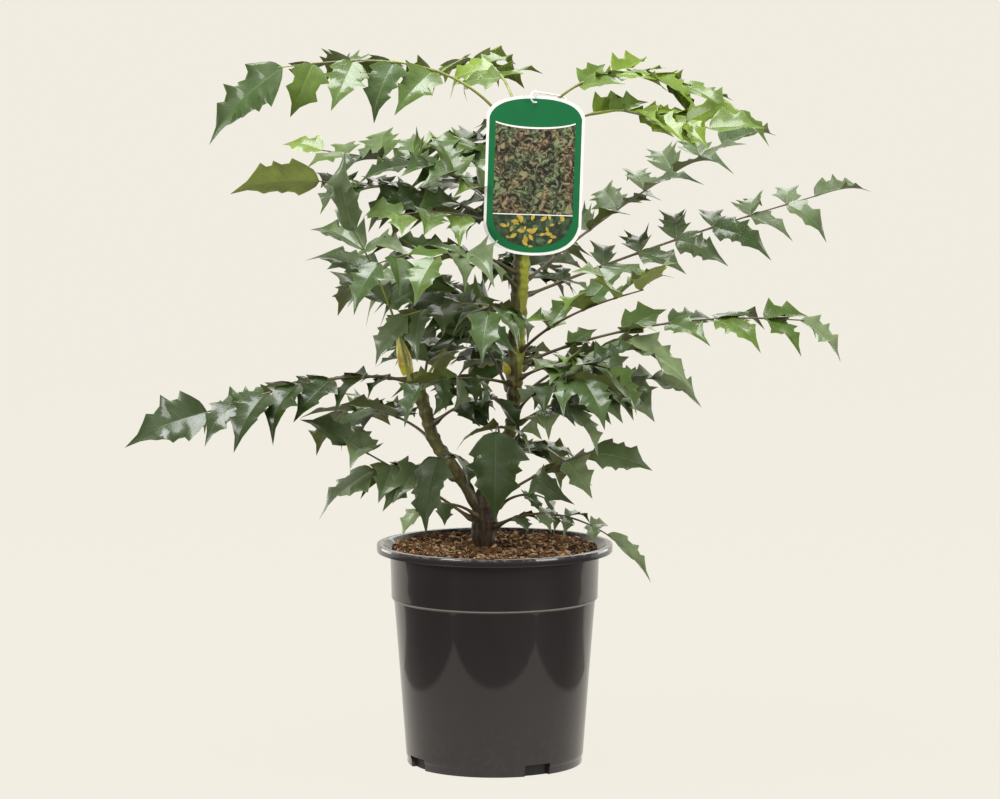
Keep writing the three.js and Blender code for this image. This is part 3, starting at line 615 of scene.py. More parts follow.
def vein_group():
    """Ribs of a leaf face from its own map: side veins leave the middle at a slant, as thin
    ridges of a triangle wave in length less a share of width, fading to the margin."""
    nodes, given, out = node_group(
        "leaf_veins",
        [("Map", "NodeSocketVector", None), ("Count", "NodeSocketFloat", 7.0)],
        [("Height", "NodeSocketFloat"), ("Margin", "NodeSocketFloat")])
    parts = nodes.axes(given["Map"])
    across = nodes.maths("MULTIPLY", nodes.maths("SUBTRACT", parts["Y"], 0.5), 2.0)
    across = nodes.maths("ABSOLUTE", across)
    slant = nodes.maths("SUBTRACT", parts["X"], nodes.maths("MULTIPLY", across, 0.22))
    wave = nodes.maths("PINGPONG", nodes.maths("MULTIPLY", slant, given["Count"]), 0.5)
    ridge = nodes.span(wave, 0.0, 0.09, 1.0, 0.0)
    fade = nodes.span(across, 0.55, 1.0, 1.0, 0.0)
    nodes.put(out["Height"], nodes.maths("MULTIPLY", ridge, fade))
    nodes.put(out["Margin"], nodes.span(across, 0.9, 1.0))
    return nodes.tree


def build_groups():
    """The shared node groups, by name."""
    return {"mottle": mottle_group(), "height": height_group(), "veins": vein_group()}


def new_material(name, **values):
    """A material with its Principled shader and plain values of that shader's sockets. Returns
    the material, the shader's inputs, the node helper and the coordinates."""
    look = bpy.data.materials.new(name)
    look.use_nodes = True
    nodes = Nodes(look.node_tree)
    shader = look.node_tree.nodes["Principled BSDF"]
    for key, value in values.items():
        nodes.put(shader.inputs[key.replace("_", " ").title().replace("Ior", "IOR")], value)
    spot = nodes.add("ShaderNodeTexCoord").outputs
    return look, shader.inputs, nodes, spot


def shade(colour, factor):
    """A colour made lighter or darker."""
    return tuple(min(channel * factor, 1.0) for channel in colour)


def mottled_material(name, colour, patch, mottle, relief, **values):
    """A finish with patches of a second colour and a grain. mottle holds the patches' scale and
    share and the grain's scale, and relief the grain's strength and depth."""
    look, shader, nodes, spot = new_material(name, **values)
    mottled = nodes.mottle(spot["Object"], colour, patch, *mottle)
    nodes.put(shader["Base Color"], mottled["Colour"])
    nodes.put(shader["Normal"], nodes.bump(mottled["Grain"], *relief))
    return look


def soil_material(name, colour):
    """Damp bark mix: broken patches and a coarse grain."""
    return mottled_material(name, colour, shade(colour, 1.6), (260.0, 0.8, 1800.0),
                            (0.6, 0.0006), roughness=0.92, specular_ior_level=0.25)


def bud_material(settings):
    """Bud scales, yellow-green with redder patches."""
    return mottled_material("bud_scales", settings.yellow, settings.red, (70.0, 0.55, 1500.0),
                            (0.15, 0.0003), roughness=0.42, coat_weight=0.2, coat_roughness=0.3)


def stalk_material(name, colour, patch):
    """A smooth stalk with stretches of a second colour."""
    return mottled_material(name, colour, patch, (45.0, 0.8, 1300.0), (0.2, 0.0003),
                            roughness=0.45, coat_weight=0.15, coat_roughness=0.3)


def plastic_material(name, colour, patch=None, size=60.0, share=0.3, roughness=0.32):
    """Plastic, or ink on it, under a thin gloss. It is mottled with a second colour, or a little
    with a lighter tone of its own."""
    return mottled_material(name, colour, patch or shade(colour, 1.25), (size, share, 1600.0),
                            (0.05, 0.0001), roughness=roughness, coat_weight=0.1,
                            coat_roughness=0.15)


def pot_material(settings, name, clean, dust_and_highlight_height, share):
    """Black moulded plastic with faint flow marks, and a share of pale dust that comes in from the
    clean height to the full one. On the rim's top the same pale share is partly dust and partly a
    painted highlight."""
    look, shader, nodes, spot = new_material(name, specular_ior_level=0.2, coat_weight=0.74,
                                             coat_roughness=0.045)
    mottled = nodes.mottle(spot["Object"], settings.colour, shade(settings.colour, 1.6), 9.0,
                           0.45, 1400.0)
    reach = nodes.rise(spot["Object"], clean, dust_and_highlight_height, abs(dust_and_highlight_height - clean) / 2)
    fine = nodes.span(nodes.noise(spot["Object"], 160.0, 5.0), 0.42, 0.72)
    # The pale share: dust at the foot, and on the rim's top partly dust and partly a painted
    # highlight
    dust = nodes.maths("MULTIPLY", nodes.maths("MULTIPLY", reach, fine), share)
    nodes.put(shader["Base Color"], nodes.mix(dust, mottled["Colour"], settings.dust_and_highlight_colour))
    streak = nodes.noise(nodes.stretch(spot["Object"], (30.0, 30.0, 3.0)), 1.0, 4.0)
    rough = nodes.span(streak, 0.3, 0.7, 0.27, 0.42)
    nodes.put(shader["Roughness"], nodes.maths("ADD", rough, nodes.maths("MULTIPLY", dust, 0.6)))
    nodes.put(shader["Normal"], nodes.bump(mottled["Grain"], 0.08, 0.0002))
    return look


def bark_material(settings, name, brown_to, olive_from, green_from, green_to):
    """Bark that is brown up to one height and olive from another, and that turns green between
    two more where it faces right."""
    look, shader, nodes, spot = new_material(name, specular_ior_level=0.35)
    ridged = nodes.stretch(spot["Object"], (1.0, 1.0, 0.22))
    bark = nodes.mottle(ridged, settings.bark, shade(settings.bark, 2.6), 320.0, 0.8, 900.0)
    young = nodes.mottle(ridged, settings.olive, shade(settings.bark, 1.8), 170.0, 0.75, 900.0)
    rise = nodes.rise(spot["Object"], brown_to, olive_from, 0.06)
    body = nodes.mix(rise, bark["Colour"], young["Colour"])
    facing = nodes.axes(nodes.add("ShaderNodeNewGeometry").outputs["Normal"])["X"]
    patchy = nodes.maths("ADD", facing, nodes.maths("MULTIPLY", young["Mask"], -0.5))
    green = nodes.maths("MULTIPLY", nodes.rise(spot["Object"], green_from, green_to, 0.1),
                        nodes.span(patchy, -0.25, 0.2))
    nodes.put(shader["Base Color"], nodes.mix(green, body, settings.green))
    nodes.put(shader["Roughness"], nodes.span(young["Mask"], 0.0, 1.0, 0.5, 0.75))
    nodes.put(shader["Normal"], nodes.bump(bark["Grain"], 0.5, 0.0007))
    return look


def blade_material(name, colour, roughness, coat, relief):
    """One face of a leaflet: a plain tone with faint patches, a paler margin that is partly the
    leaf's own and partly a painted highlight, side veins and a fine grain. The relief is the
    strength of veins and grain."""
    look, shader, nodes, spot = new_material(name, coat_weight=coat, coat_roughness=0.14,
                                             specular_ior_level=0.34)
    mottled = nodes.mottle(spot["Object"], colour, shade(colour, 1.45), 55.0, 0.6, 260.0)
    veins = nodes.group("veins", {"Map": spot["UV"], "Count": 7.0})
    # The margin is lightened: partly the leaf's paler edge, partly a painted highlight
    edge = nodes.maths("MULTIPLY", veins["Margin"], 0.6)
    nodes.put(shader["Base Color"], nodes.mix(edge, mottled["Colour"], shade(colour, 2.2)))
    nodes.put(shader["Roughness"], nodes.span(mottled["Mask"], 0.0, 1.0, roughness,
                                              roughness + 0.1))
    height = nodes.maths("ADD", veins["Height"], nodes.maths("MULTIPLY", mottled["Grain"], 0.3))
    nodes.put(shader["Normal"], nodes.bump(height, relief, 0.0005))
    return look


def panel_material(settings):
    """The tag's panel: a printed thicket. A crinkled noise sorts it into dark gaps, middle
    leaves and pale edges, and a coarse one tints it greener or browner."""
    look, shader, nodes, spot = new_material("tag_panel_print", roughness=0.4, coat_weight=0.1,
                                             coat_roughness=0.15)
    leafy = nodes.noise(spot["Object"], 150.0, 4.0, 0.7, 1.6)
    tint = nodes.span(nodes.noise(spot["Object"], 48.0, 3.0), 0.42, 0.6)
    middle = nodes.mix(tint, settings.panel, settings.panel_brown)
    gaps = nodes.mix(nodes.span(leafy, 0.43, 0.5), shade(settings.panel, 0.08), middle)
    light = nodes.mix(tint, shade(settings.panel, 3.2), shade(settings.panel_brown, 3.6))
    pale = nodes.maths("MULTIPLY", nodes.span(leafy, 0.52, 0.59), 0.9)
    nodes.put(shader["Base Color"], nodes.mix(pale, gaps, light))
    return look


def finish_piece(piece, slot, *replaced):
    """Rides a piece on the part's one body and hides the solids it stands for. The slot is not used.
    """
    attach(piece, "root")
    if replaced:
        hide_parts(*replaced)


# The growing rule


def jitter(frond, leaflet, kind):
    """Even jitter from -1 to 1: the fraction of a steep sine."""
    wave = math.sin(frond * 12.9898 + leaflet * 78.233 + kind * 37.719) * 43758.5453
    return 2 * (wave - math.floor(wave)) - 1


def cane_at(points, height):
    """Where a cane is at a height: its axis point, direction and radius."""
    n = int(np.clip(np.searchsorted(points[:, 2], height) - 1, 0, len(points) - 2))
    low, high = points[n], points[n + 1]
    place = low + (high - low) * (height - low[2]) / (high[2] - low[2])
    return place[:3], unit(high[:3] - low[:3]), place[3]


def rise_at(rise, share):
    """The stalk's elevation at a share of its length: a parabola through its three rises."""
    root, middle, tip = rise
    return (root * 2 * (share - 0.5) * (share - 1) + middle * 4 * share * (1 - share)
            + tip * 2 * share * (share - 0.5))


def heading_vector(heading, rise):
    """The direction of a heading and an elevation in degrees."""
    h, e = math.radians(heading), math.radians(rise)
    return np.array([math.cos(h) * math.cos(e), math.sin(h) * math.cos(e), math.sin(e)])


def stalk_path(frond):
    """The stalk's points and directions, from just clear of the cane to its tip."""
    place, along, radius = cane_at(CANES[frond["cane"]], frond["height"])
    out = heading_vector(frond["heading"], 0)
    out = unit(out - along * out.dot(along))
    points = [place + out * (radius + GAP)]
    ways = [out]
    for n in range(STALK_STEPS):
        way = heading_vector(frond["heading"], rise_at(frond["rise"], (n + 0.5) / STALK_STEPS))
        points.append(points[n] + way * frond["length"] / STALK_STEPS)
        ways.append(way)
    return np.array(points), np.array(ways)


def stalk_at(path, share):
    """The point and the direction of a stalk at a share of its length."""
    points, ways = path
    n = min(int(share * STALK_STEPS), STALK_STEPS - 1)
    return points[n] + (points[n + 1] - points[n]) * (share * STALK_STEPS - n), ways[n + 1]


def turn_to(start, towards, angle):
    """A direction turned by an angle towards another that is square to it."""
    return start * math.cos(angle) + towards * math.sin(angle)


def leaflet_frame(path, plan, lift, turn):
    """A leaflet's root, the way it points, the side to its left and the way it faces."""
    place, way = stalk_at(path, plan["share"])
    left = unit(np.cross(UP, way))
    face = np.cross(way, left)
    tilt = math.radians(plan["lift"] + lift)
    swing = math.radians(plan["turn"] + turn)
    if plan["side"] == 0:
        direction = turn_to(turn_to(way, left, swing), face, tilt)
        across = turn_to(left, face, math.radians(plan["roll"]))
    else:
        out = turn_to(left * plan["side"], face, tilt)
        direction = turn_to(way, out, math.radians(PAIR_FORWARD) + swing)
        across = -way * plan["side"]
    direction = unit(direction)
    across = unit(across - direction * across.dot(direction))
    return place, direction, across, np.cross(direction, across)


def back_side(frond):
    """The side of a frond's back row: 1 if it is on the stalk's left, or -1."""
    return 1 if math.cos(math.radians(frond["heading"])) > 0 else -1


def leaflet_plans(frond, index):
    """Every leaflet that a frond would like to have, from its root to its end leaflet."""
    back = back_side(frond)
    pairs, bare = frond["pairs"], frond["bare"]
    plans = []
    for pair in range(pairs):
        share = bare + (1 - bare) * ((pair + PAIR_OFFSET) / pairs)
        swell = LENGTH_LOW + LENGTH_SWELL * math.sin(math.pi * (pair + 1) / (pairs + 1))
        for side in (1, -1):
            key = pair * 2 + (side + 1) // 2
            plans.append({
                "share": share,
                "side": side,
                "length": frond["leaflet"] * swell * (1 + LENGTH_JITTER * jitter(index, key, 1)),
                "lift": (side * back * frond["roll"] - frond["hang"]
                         + LIFT_JITTER * jitter(index, key, 2)),
                "turn": TURN_JITTER * jitter(index, key, 3),
                "droop": DROOP + DROOP_JITTER * jitter(index, key, 4),
            })
    droop, length, roll = frond["end"]
    plans.append({"share": 1 - END_ROOT / frond["length"], "side": 0, "length": length,
                  "lift": -droop, "turn": 0, "roll": roll * back, "droop": END_DROOP})
    return plans


def leaflet_tip(place, length, droop):
    """The tip that a leaflet's solid has: its length along a sagging way."""
    root, way, _, face = place
    sag = math.radians(droop) / 2
    return root + way * length * math.cos(sag) - face * length * math.sin(sag)


def rest_pose(frond, plan, tried, draw):
    """A leaflet's try, eased as it would settle: ROW_LIFTS raises the back and front rows, front
    rows hang unevenly, LEVEL_FRONDS hang less, ROW_TURNS swings both rows to or from the stalk,
    and END_LIFTS raises end leaflets."""
    lift, turn = tried
    if plan["side"] == 0:
        return lift + END_LIFTS.get(frond["name"], 0), turn
    if frond["name"].startswith(LEVEL_FRONDS):
        lift += LEVEL_SHARE * frond["hang"]
    turn += ROW_TURNS.get(frond["name"], 0)
    back_lift, front_lift = ROW_LIFTS.get(frond["name"], USUAL_LIFTS)
    if plan["side"] == back_side(frond):
        return lift + back_lift, turn
    return lift + front_lift + draw.uniform(*FRONT_UNEVEN), turn


def facing_up(place):
    """A steep frond's leaflet, turned about its own length. It faces the reverse of its old way
    plus TURN_UP times straight up, as far as that is square to its length."""
    root, way, _, face = place
    face = -face + TURN_UP * UP
    face = unit(face - way * face.dot(way))
    return root, way, np.cross(face, way), face


def between(frond, path, settled):
    """More leaflets for a frond of the inner crown: halfway between two of its pairs, each hung
    lower or higher than the one before it and a little smaller."""
    step = (1 - frond["bare"]) / frond["pairs"]
    more = []
    for plan, pose in settled:
        if plan["side"] == 0 or plan["share"] + step > 1:
            continue
        hang = BETWEEN_SWING * math.sin(plan["length"] * 7) + BETWEEN_HANG
        half = dict(plan, share=plan["share"] + step / 2, length=plan["length"] * BETWEEN_LENGTH,
                    lift=plan["lift"] - hang)
        more.append((half, leaflet_frame(path, half, *pose)))
    return more


def near_root(frond, path, settled):
    """The small pair near the cane: the frond's first pair again at half the bare share."""
    step = (1 - frond["bare"]) / frond["pairs"]
    more = []
    for plan, pose in settled:
        if plan["side"] and plan["share"] < frond["bare"] + step:
            small = dict(plan, share=frond["bare"] / 2, length=plan["length"] * ROOT_PAIR_LENGTH)
            more.append((small, leaflet_frame(path, small, *pose)))
    return more


def find_leaflets(frond, index, path):
    """The leaflets that the frond's solid holds, each with the try that it took: the first one
    with a corner of the solid at its tip. One with none was left out."""
    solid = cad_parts["frond_" + frond["name"]].data
    corners = np.empty(len(solid.vertices) * 3, dtype=np.float32)
    solid.vertices.foreach_get("co", corners)
    corners = corners.reshape(-1, 3)
    found = []
    for plan in leaflet_plans(frond, index):
        for lift, turn in LEAFLET_TRIES:
            place = leaflet_frame(path, plan, lift, turn)
            tip = leaflet_tip(place, plan["length"], plan["droop"]) * MM
            if np.linalg.norm(corners - tip, axis=1).min() < TIP_TOLERANCE:
                found.append((plan, (lift, turn)))
                break
    return found


# Leaflets

# The blade's fold in degrees, the rib's half width as a share of the length, the columns' places
# from rib to margin, and the rows' places up to the first spine, between two and to the point
BLADE_FOLD = 30
RIB_HALF = 0.008
INNER_SHARES = (0.55, 1.0)
BASE_STEPS = (0.0, 0.1, 0.45)
SPINE_STEPS = (0.0, 0.28, 0.7)
APEX_STEPS = (0.0, 0.2, 0.5, 1.0)
SLOT_UPPER, SLOT_UNDER, SLOT_RIB = 0, 1, 2

# Leaflets of these lengths in millimetres and more have a third and a fourth spine a side. The
# first spine and the last, by how many there are, stand at these shares of the length
SPINE_LENGTHS = (56, 92)
FIRST_SPINE = 0.17
LAST_SPINE = {2: 0.5, 3: 0.57, 4: 0.62}

# The curve of the spines' tips, as shares of the length and of the half width
SWELL_PLACES = (0, 0.15, 0.3, 0.5, 0.7)
SWELL_WIDTHS = (0.9, 1.1, 1.14, 0.92, 0.6)

# The seed and the spreads of the random draws, with twist and roll in degrees
LEAFLET_SEED = 11
SPINE_SPREAD = (-0.03, 0.03)
WIDTH_SPREAD = (0.88, 1.12)
RISE_SPREAD = (-0.3, 1.4)
ARCH_SPREAD = (0.3, 1.3)
WAVE_SPREAD = (0.5, 1.25)
ROOT_TWIST = (-9, 9)
TIP_TWIST = (-24, 24)
ROLL_SPREAD = (-24, 24)

# Shares of the width by which the left half is wider and the right half narrower, and of the
# half width by which spines lean forward; the end leaflet's share of the scallops; thickness of
# blade and rib in shares of the length, and how much of the rib's is gone at the point
HALF_DIFFERENCE = 0.06
SPINE_LEAN = 0.3
END_SCALLOP = 0.72
BLADE_THICK = 0.006
RIB_THICK = 0.016
RIB_THINNING = 0.7


def spine_count(length):
    """Spines on each side of a leaflet of a length in millimetres."""
    return 2 + sum(length >= limit for limit in SPINE_LENGTHS)


def leaflet_outline(length, scallop, draw):
    """One side of a leaflet: its place along the leaflet, half width and spines' rise, as shares
    of its length. The spines' tips lie on a curve that swells towards the root and narrows to
    the point. Two spines are joined by a straight line less a share of sin(pi t) to a small
    power, the root's shoulder is a root of t, and the point narrows as (1 - t) to a power. The
    rise falls off from each spine as a power and sinks between two by a share of sin(pi t)."""
    spines = spine_count(length)
    knots = np.linspace(FIRST_SPINE, LAST_SPINE[spines], spines)
    knots = knots + draw.uniform(*SPINE_SPREAD, spines)
    swell = np.interp(knots, SWELL_PLACES, SWELL_WIDTHS)
    tips = LEAFLET_HALF_WIDTH * swell * draw.uniform(*WIDTH_SPREAD, spines)
    lifts = draw.uniform(*RISE_SPREAD, spines)
    t = np.array(BASE_STEPS)
    shares = [knots[0] * t]
    widths = [tips[0] * t**0.34 * (1 - 0.08 * np.sin(np.pi * t))]
    rises = [lifts[0] * t**2]
    t = np.array(SPINE_STEPS)
    dip = np.sin(np.pi * t)
    for n in range(spines - 1):
        shares.append(knots[n] + (knots[n + 1] - knots[n]) * t)
        widths.append((tips[n] + (tips[n + 1] - tips[n]) * t) * (1 - scallop * dip**0.8))
        rises.append(lifts[n] * (1 - t) ** 2 + lifts[n + 1] * t**2 - 0.6 * dip)
    t = np.array(APEX_STEPS)
    shares.append(knots[-1] + (1 - knots[-1]) * t)
    widths.append(tips[-1] * (1 - t) ** 1.9)
    rises.append(lifts[-1] * (1 - t) ** 3 - 0.35 * np.sin(np.pi * t))
    return np.concatenate(shares), np.concatenate(widths), np.concatenate(rises)


def leaflet_surface(length, wave, scallop, draw):
    """The upper face of one leaflet in its own axes: x along it, y to its left, z the way it
    faces, in shares of its length, and the part of its width at each column. On each side columns
    run from the rib to the margin. The blade folds up from the rib by its slope and arches back
    down by the square of the distance, spines rise by the wave times the square of the share
    across, and they lean forward by a share of their distance."""
    fold = math.tan(math.radians(BLADE_FOLD))
    arch_back = draw.uniform(*ARCH_SPREAD) / LEAFLET_HALF_WIDTH
    halves = []
    for sign in (1, -1):
        share, width, rise = leaflet_outline(length, scallop, draw)
        width = width * (1 + HALF_DIFFERENCE * sign)
        rib = np.minimum(RIB_HALF * (1 - share) ** 0.7, width)
        columns = []
        for across in (0.0, *INNER_SHARES):
            a = rib + (width - rib) * across
            x = share + SPINE_LEAN * a * across
            z = fold * a * (1 - arch_back * a) + wave * rise * across**2
            columns.append(np.stack([x, sign * a, z], axis=-1))
        halves.append(columns)
    left, right = halves
    out = np.array(INNER_SHARES) / 2
    v = np.concatenate([0.5 + out[::-1], [0.5, 0.5], 0.5 - out])
    return np.stack(left[::-1] + right, axis=1), v


def place_leaflet(shape, plan, place, slim, settings, draw):
    """One leaflet as a closed blade of a few faces: its upper face, and its lower face a little
    under it, which meet at the margin. Its point sags as its solid's does: each place is turned
    about the root by half the droop times the square of x. It twists evenly along x, and slim is
    the share of its full width."""
    length = plan["length"] * (LENGTH_GROWN if plan["side"] else 1)
    wave = settings.wave * draw.uniform(*WAVE_SPREAD)
    scallop = settings.scallop * (1 if plan["side"] else END_SCALLOP)
    upper, v = leaflet_surface(length, wave, scallop, draw)
    rows, columns, _ = upper.shape
    x, y, z = upper[..., 0], upper[..., 1] * slim, upper[..., 2]
    twist = np.radians(draw.uniform(*ROOT_TWIST) + draw.uniform(*TIP_TWIST) * x)
    y, z = y * np.cos(twist) - z * np.sin(twist), y * np.sin(twist) + z * np.cos(twist)
    sag = math.radians(plan["droop"]) * x**2 / 2
    root, way, side, face = place
    if plan["side"]:
        roll = math.radians(draw.uniform(*ROLL_SPREAD))
        side, face = turn_to(side, face, roll), turn_to(face, -side, roll)
    world = (root + length * (
        (x * np.cos(sag))[..., None] * way - (x * np.sin(sag))[..., None] * face
        + y[..., None] * side + z[..., None] * face))
    rib = columns // 2 - 1
    thick = length * BLADE_THICK * np.ones((rows, columns))
    thick[:, rib:rib + 2] = length * RIB_THICK * (1 - RIB_THINNING * x[:, rib:rib + 2])
    thick[:, 0] = thick[:, -1] = thick[0] = thick[-1] = 0
    lower = world - thick[..., None] * face
    u = np.broadcast_to(np.linspace(0, 1, rows)[:, None], (rows, columns))
    uv = np.stack([u, np.broadcast_to(v, (rows, columns))], axis=-1)
    slots = np.tile(np.where(np.arange(columns - 1) == rib, SLOT_RIB, SLOT_UPPER), rows - 1)
    shape.add(world * MM, grid_faces(rows, columns, flip=True), slots, uv)
    shape.add(lower * MM, grid_faces(rows, columns), SLOT_UNDER, uv)


# Stalks: how far the sheath reaches back to the cane, in millimetres, rings and sides, and how
# much the sheath and the joints swell over how many millimetres
SHEATH_BACK = 2.2
STALK_RINGS = 69
STALK_SIDES = 8
SHEATH_SWELL, SHEATH_WIDTH = 1.1, 7.0
JOINT_SWELL, JOINT_WIDTH = 0.5, 2.6


def stalk_rings(frond, path, shares, settings):
    """Rings of a stalk: a smooth curve through the solid's points with a sheath that clasps the
    cane and a swollen joint at every pair of leaflets, each a bell curve on the radius."""
    points, ways = path
    t = np.linspace(0, 1, STALK_RINGS)
    curve = smooth(points, t)
    curve[0] = points[0] - ways[0] * SHEATH_BACK
    along = t * frond["length"]
    radius = (settings.stalk_base + (settings.stalk_tip - settings.stalk_base) * t) / MM
    radius = radius * (1 + SHEATH_SWELL * bell(along, SHEATH_WIDTH))
    for share in shares:
        radius = radius * (1 + JOINT_SWELL * bell(along - share * frond["length"], JOINT_WIDTH))
    left = np.cross(UP, heading_vector(frond["heading"], 0))
    return rings_round(curve, left, radius, STALK_SIDES) * MM


def frond_leaflets(frond, index, path, draw):
    """Every leaflet of a frond with its place: the solid's, settled, and the ones between and
    near the root where the frond has them."""
    name = frond["name"]
    share = DROOP_SHARES.get(name, 1)
    settled = [(dict(plan, droop=plan["droop"] * share), rest_pose(frond, plan, tried, draw))
               for plan, tried in find_leaflets(frond, index, path)]
    found = [(plan, leaflet_frame(path, plan, *pose)) for plan, pose in settled]
    if name.startswith(CROWN_FRONDS):
        found += between(frond, path, settled)
    if name.startswith(ROOT_FRONDS):
        found += near_root(frond, path, settled)
    if name in TURNED_FRONDS:
        found = [(plan, facing_up(place)) for plan, place in found]
    return found


class MAHONIA_OT_fronds(bpy.types.Operator):
    """Grow the fronds: stalks with swollen joints, and spiny leaflets dealt out by tone"""
    bl_idname = "mahonia.fronds"
    bl_label = "Fronds"

    def execute(self, context):
        settings = context.scene.mahonia_fronds
        draw = np.random.default_rng(LEAFLET_SEED)
        leaves = {tone: Shape() for tone in TONE_MIX}
        stalks = {"old": Shape(), "young": Shape()}
        for index, frond in enumerate(FRONDS):
            self.grow(frond, index, leaves, stalks, settings, draw)
        for tone, shape in leaves.items():
            looks = self.leaf_looks(tone, settings)
            finish_piece(shape.build("leaflets_" + tone, looks, 50.0), "frond")
        tones = {"old": (settings.stalk, shade(settings.stalk, 0.45)),
                 "young": (settings.young_stalk, settings.stalk)}
        names = ["frond_" + frond["name"] for frond in FRONDS]
        for age, shape in stalks.items():
            piece = shape.build("stalks_" + age, [stalk_material("stalk_" + age, *tones[age])], 60.0)
            finish_piece(piece, "frond", *(names if age == "old" else ()))
        return {"FINISHED"}

    def grow(self, frond, index, leaves, stalks, settings, draw):
        """One frond: its stalk, and its leaflets dealt the frond's tone or one near it."""
        name = frond["name"]
        path = stalk_path(frond)
        tone = FROND_TONES.get(name, USUAL_TONE)
        found = frond_leaflets(frond, index, path, draw)
        shares = sorted({plan["share"] for plan, _ in found if plan["side"]})
        age = "young" if tone in YOUNG_TONES or name in GREEN_STALKS else "old"
        stalks[age].tube(stalk_rings(frond, path, shares, settings))
        for plan, place in found:
            mix = TONE_MIX[tone]
            chosen = mix[draw.integers(len(mix))]
            slim = SLIM_PAIRS.get(name, 1)
            if plan["side"] == 0:
                chosen = END_TONES.get(name, chosen)
                slim = SLIM_ENDS.get(name, 1)
            place_leaflet(leaves[chosen], plan, place, slim, settings, draw)

    def leaf_looks(self, tone, settings):
        """The upper face, the lower face and the rib of one tone, in the order of their slots."""
        colour = getattr(settings, tone)
        # The lower faces of older tones take half the underside colour: painted shade
        pale = settings.under if tone in YOUNG_TONES else shade(settings.under, 0.5)
        return [blade_material("leaf_" + tone, colour, roughness=0.4, coat=0.34, relief=0.22),
                blade_material("under_" + tone, pale, roughness=0.5, coat=0.0, relief=0.5),
                stalk_material("rib_" + tone, shade(colour, 1.5), shade(colour, 1.9))]


# Canes and buds


# Bark relief in millimetres. Each leaf-scar ring is a bell curve up the cane with a notch above
# it, fainter on the foot. Splits fade with height from their full depth to a share of it. They
# are deepened, since a mean of sines seldom comes near one
CANE_STEP = 1.1
RING_WIDTH = 2.2
RING_SLANTS = (0.9, 1.4)
NOTCH_RISE, NOTCH_WIDTH, NOTCH_SHARE = 3.4, 1.3, 0.45
FOOT_TOP, FOOT_RING_SHARE = 275, 0.25
SPLIT_TOP, SPLIT_FADE, SPLIT_LEAST = 330, 90, 0.12
SPLIT_DEEPER = 1.6
LUMPS, FINE_LUMPS = 0.9, 0.25
EXTRA_NODES = {"main": [300, 312, 546, 566], "left": [262, 290, 300, 338]}
CANE_SIDES = {"main": 40, "left": 32}


def cane_radii(radius, z, turn, heights, settings):
    """The bark's radius at each ring and side: the solid's own, plus a ring where each frond
    leaves the cane and at the extra nodes, less splits that run up it, plus lumps. Rings slant as
    sines of the turn, and splits and lumps are sines of turn and height."""
    for n, height in enumerate(heights):
        slant = RING_SLANTS[0] * np.sin(turn + n * 2.4) + RING_SLANTS[1] * np.sin(turn * 2 + n)
        above = z - height + slant
        ring = bell(above, RING_WIDTH) - NOTCH_SHARE * bell(above - NOTCH_RISE, NOTCH_WIDTH)
        share = FOOT_RING_SHARE if height < FOOT_TOP else 1
        radius = radius + settings.node_swell / MM * share * ring
    fade = np.clip((SPLIT_TOP - z) / SPLIT_FADE, SPLIT_LEAST, 1)
    split = hum(turn * 7 + 0.09 * z, turn * 11 - 0.13 * z + 2, turn * 5 + 1.3 * np.sin(0.11 * z))
    radius = radius - settings.fissure / MM * fade * np.abs(split) * SPLIT_DEEPER
    radius = radius + LUMPS * fade * hum(turn * 2 + 0.13 * z, turn * 3 - 0.19 * z, turn + 0.37 * z)
    return radius + FINE_LUMPS * hum(turn * 3 + 0.21 * z, turn * 2 - 0.33 * z)


def cane_piece(cane, look, settings):
    """A cane's bark: a smooth taper through the solid's points, with the bark's relief."""
    points, sides = CANES[cane], CANE_SIDES[cane]
    heights = sorted(frond["height"] for frond in FRONDS if frond["cane"] == cane)
    curve = smooth(points, np.linspace(0, 1, int(np.ptp(points[:, 2]) / CANE_STEP)))
    radius = cane_radii(np.repeat(curve[:, 3:], sides, axis=1), curve[:, 2:3], around(sides),
                        heights + EXTRA_NODES[cane], settings)
    shape = Shape()
    shape.tube(rings_round(curve[:, :3], BACK, radius, sides) * MM)
    finish_piece(shape.build("bark_" + cane, [look], 60.0), "cane", "cane_" + cane)


class MAHONIA_OT_canes(bpy.types.Operator):
    """Make the two canes with leaf-scar rings and split bark"""
    bl_idname = "mahonia.canes"
    bl_label = "Canes"

    def execute(self, context):
        settings = context.scene.mahonia_canes
        main = bark_material(settings, "bark_main", brown_to=0.25, olive_from=0.32,
                             green_from=0.30, green_to=0.5)
        left = bark_material(settings, "bark_left", brown_to=0.24, olive_from=0.30,
                             green_from=0.33, green_to=0.6)
        cane_piece("main", main, settings)
        cane_piece("left", left, settings)
        return {"FINISHED"}


# Buds: the spindle as shares of the length and the radius, the scales' lift as a share of the
# radius, and the share of the solid's radius that a bud has
SPINDLE_PLACES = (0, 0.08, 0.25, 0.45, 0.7, 0.9, 1)
SPINDLE_WIDTHS = (0.7, 0.85, 1, 0.93, 0.58, 0.2, 0.03)
SCALE_LIFT = 0.08
BUD_SLIM = 0.78
BUD_SIDES = 28
BUD_RINGS = 46
BUD_END_CORNERS = 8


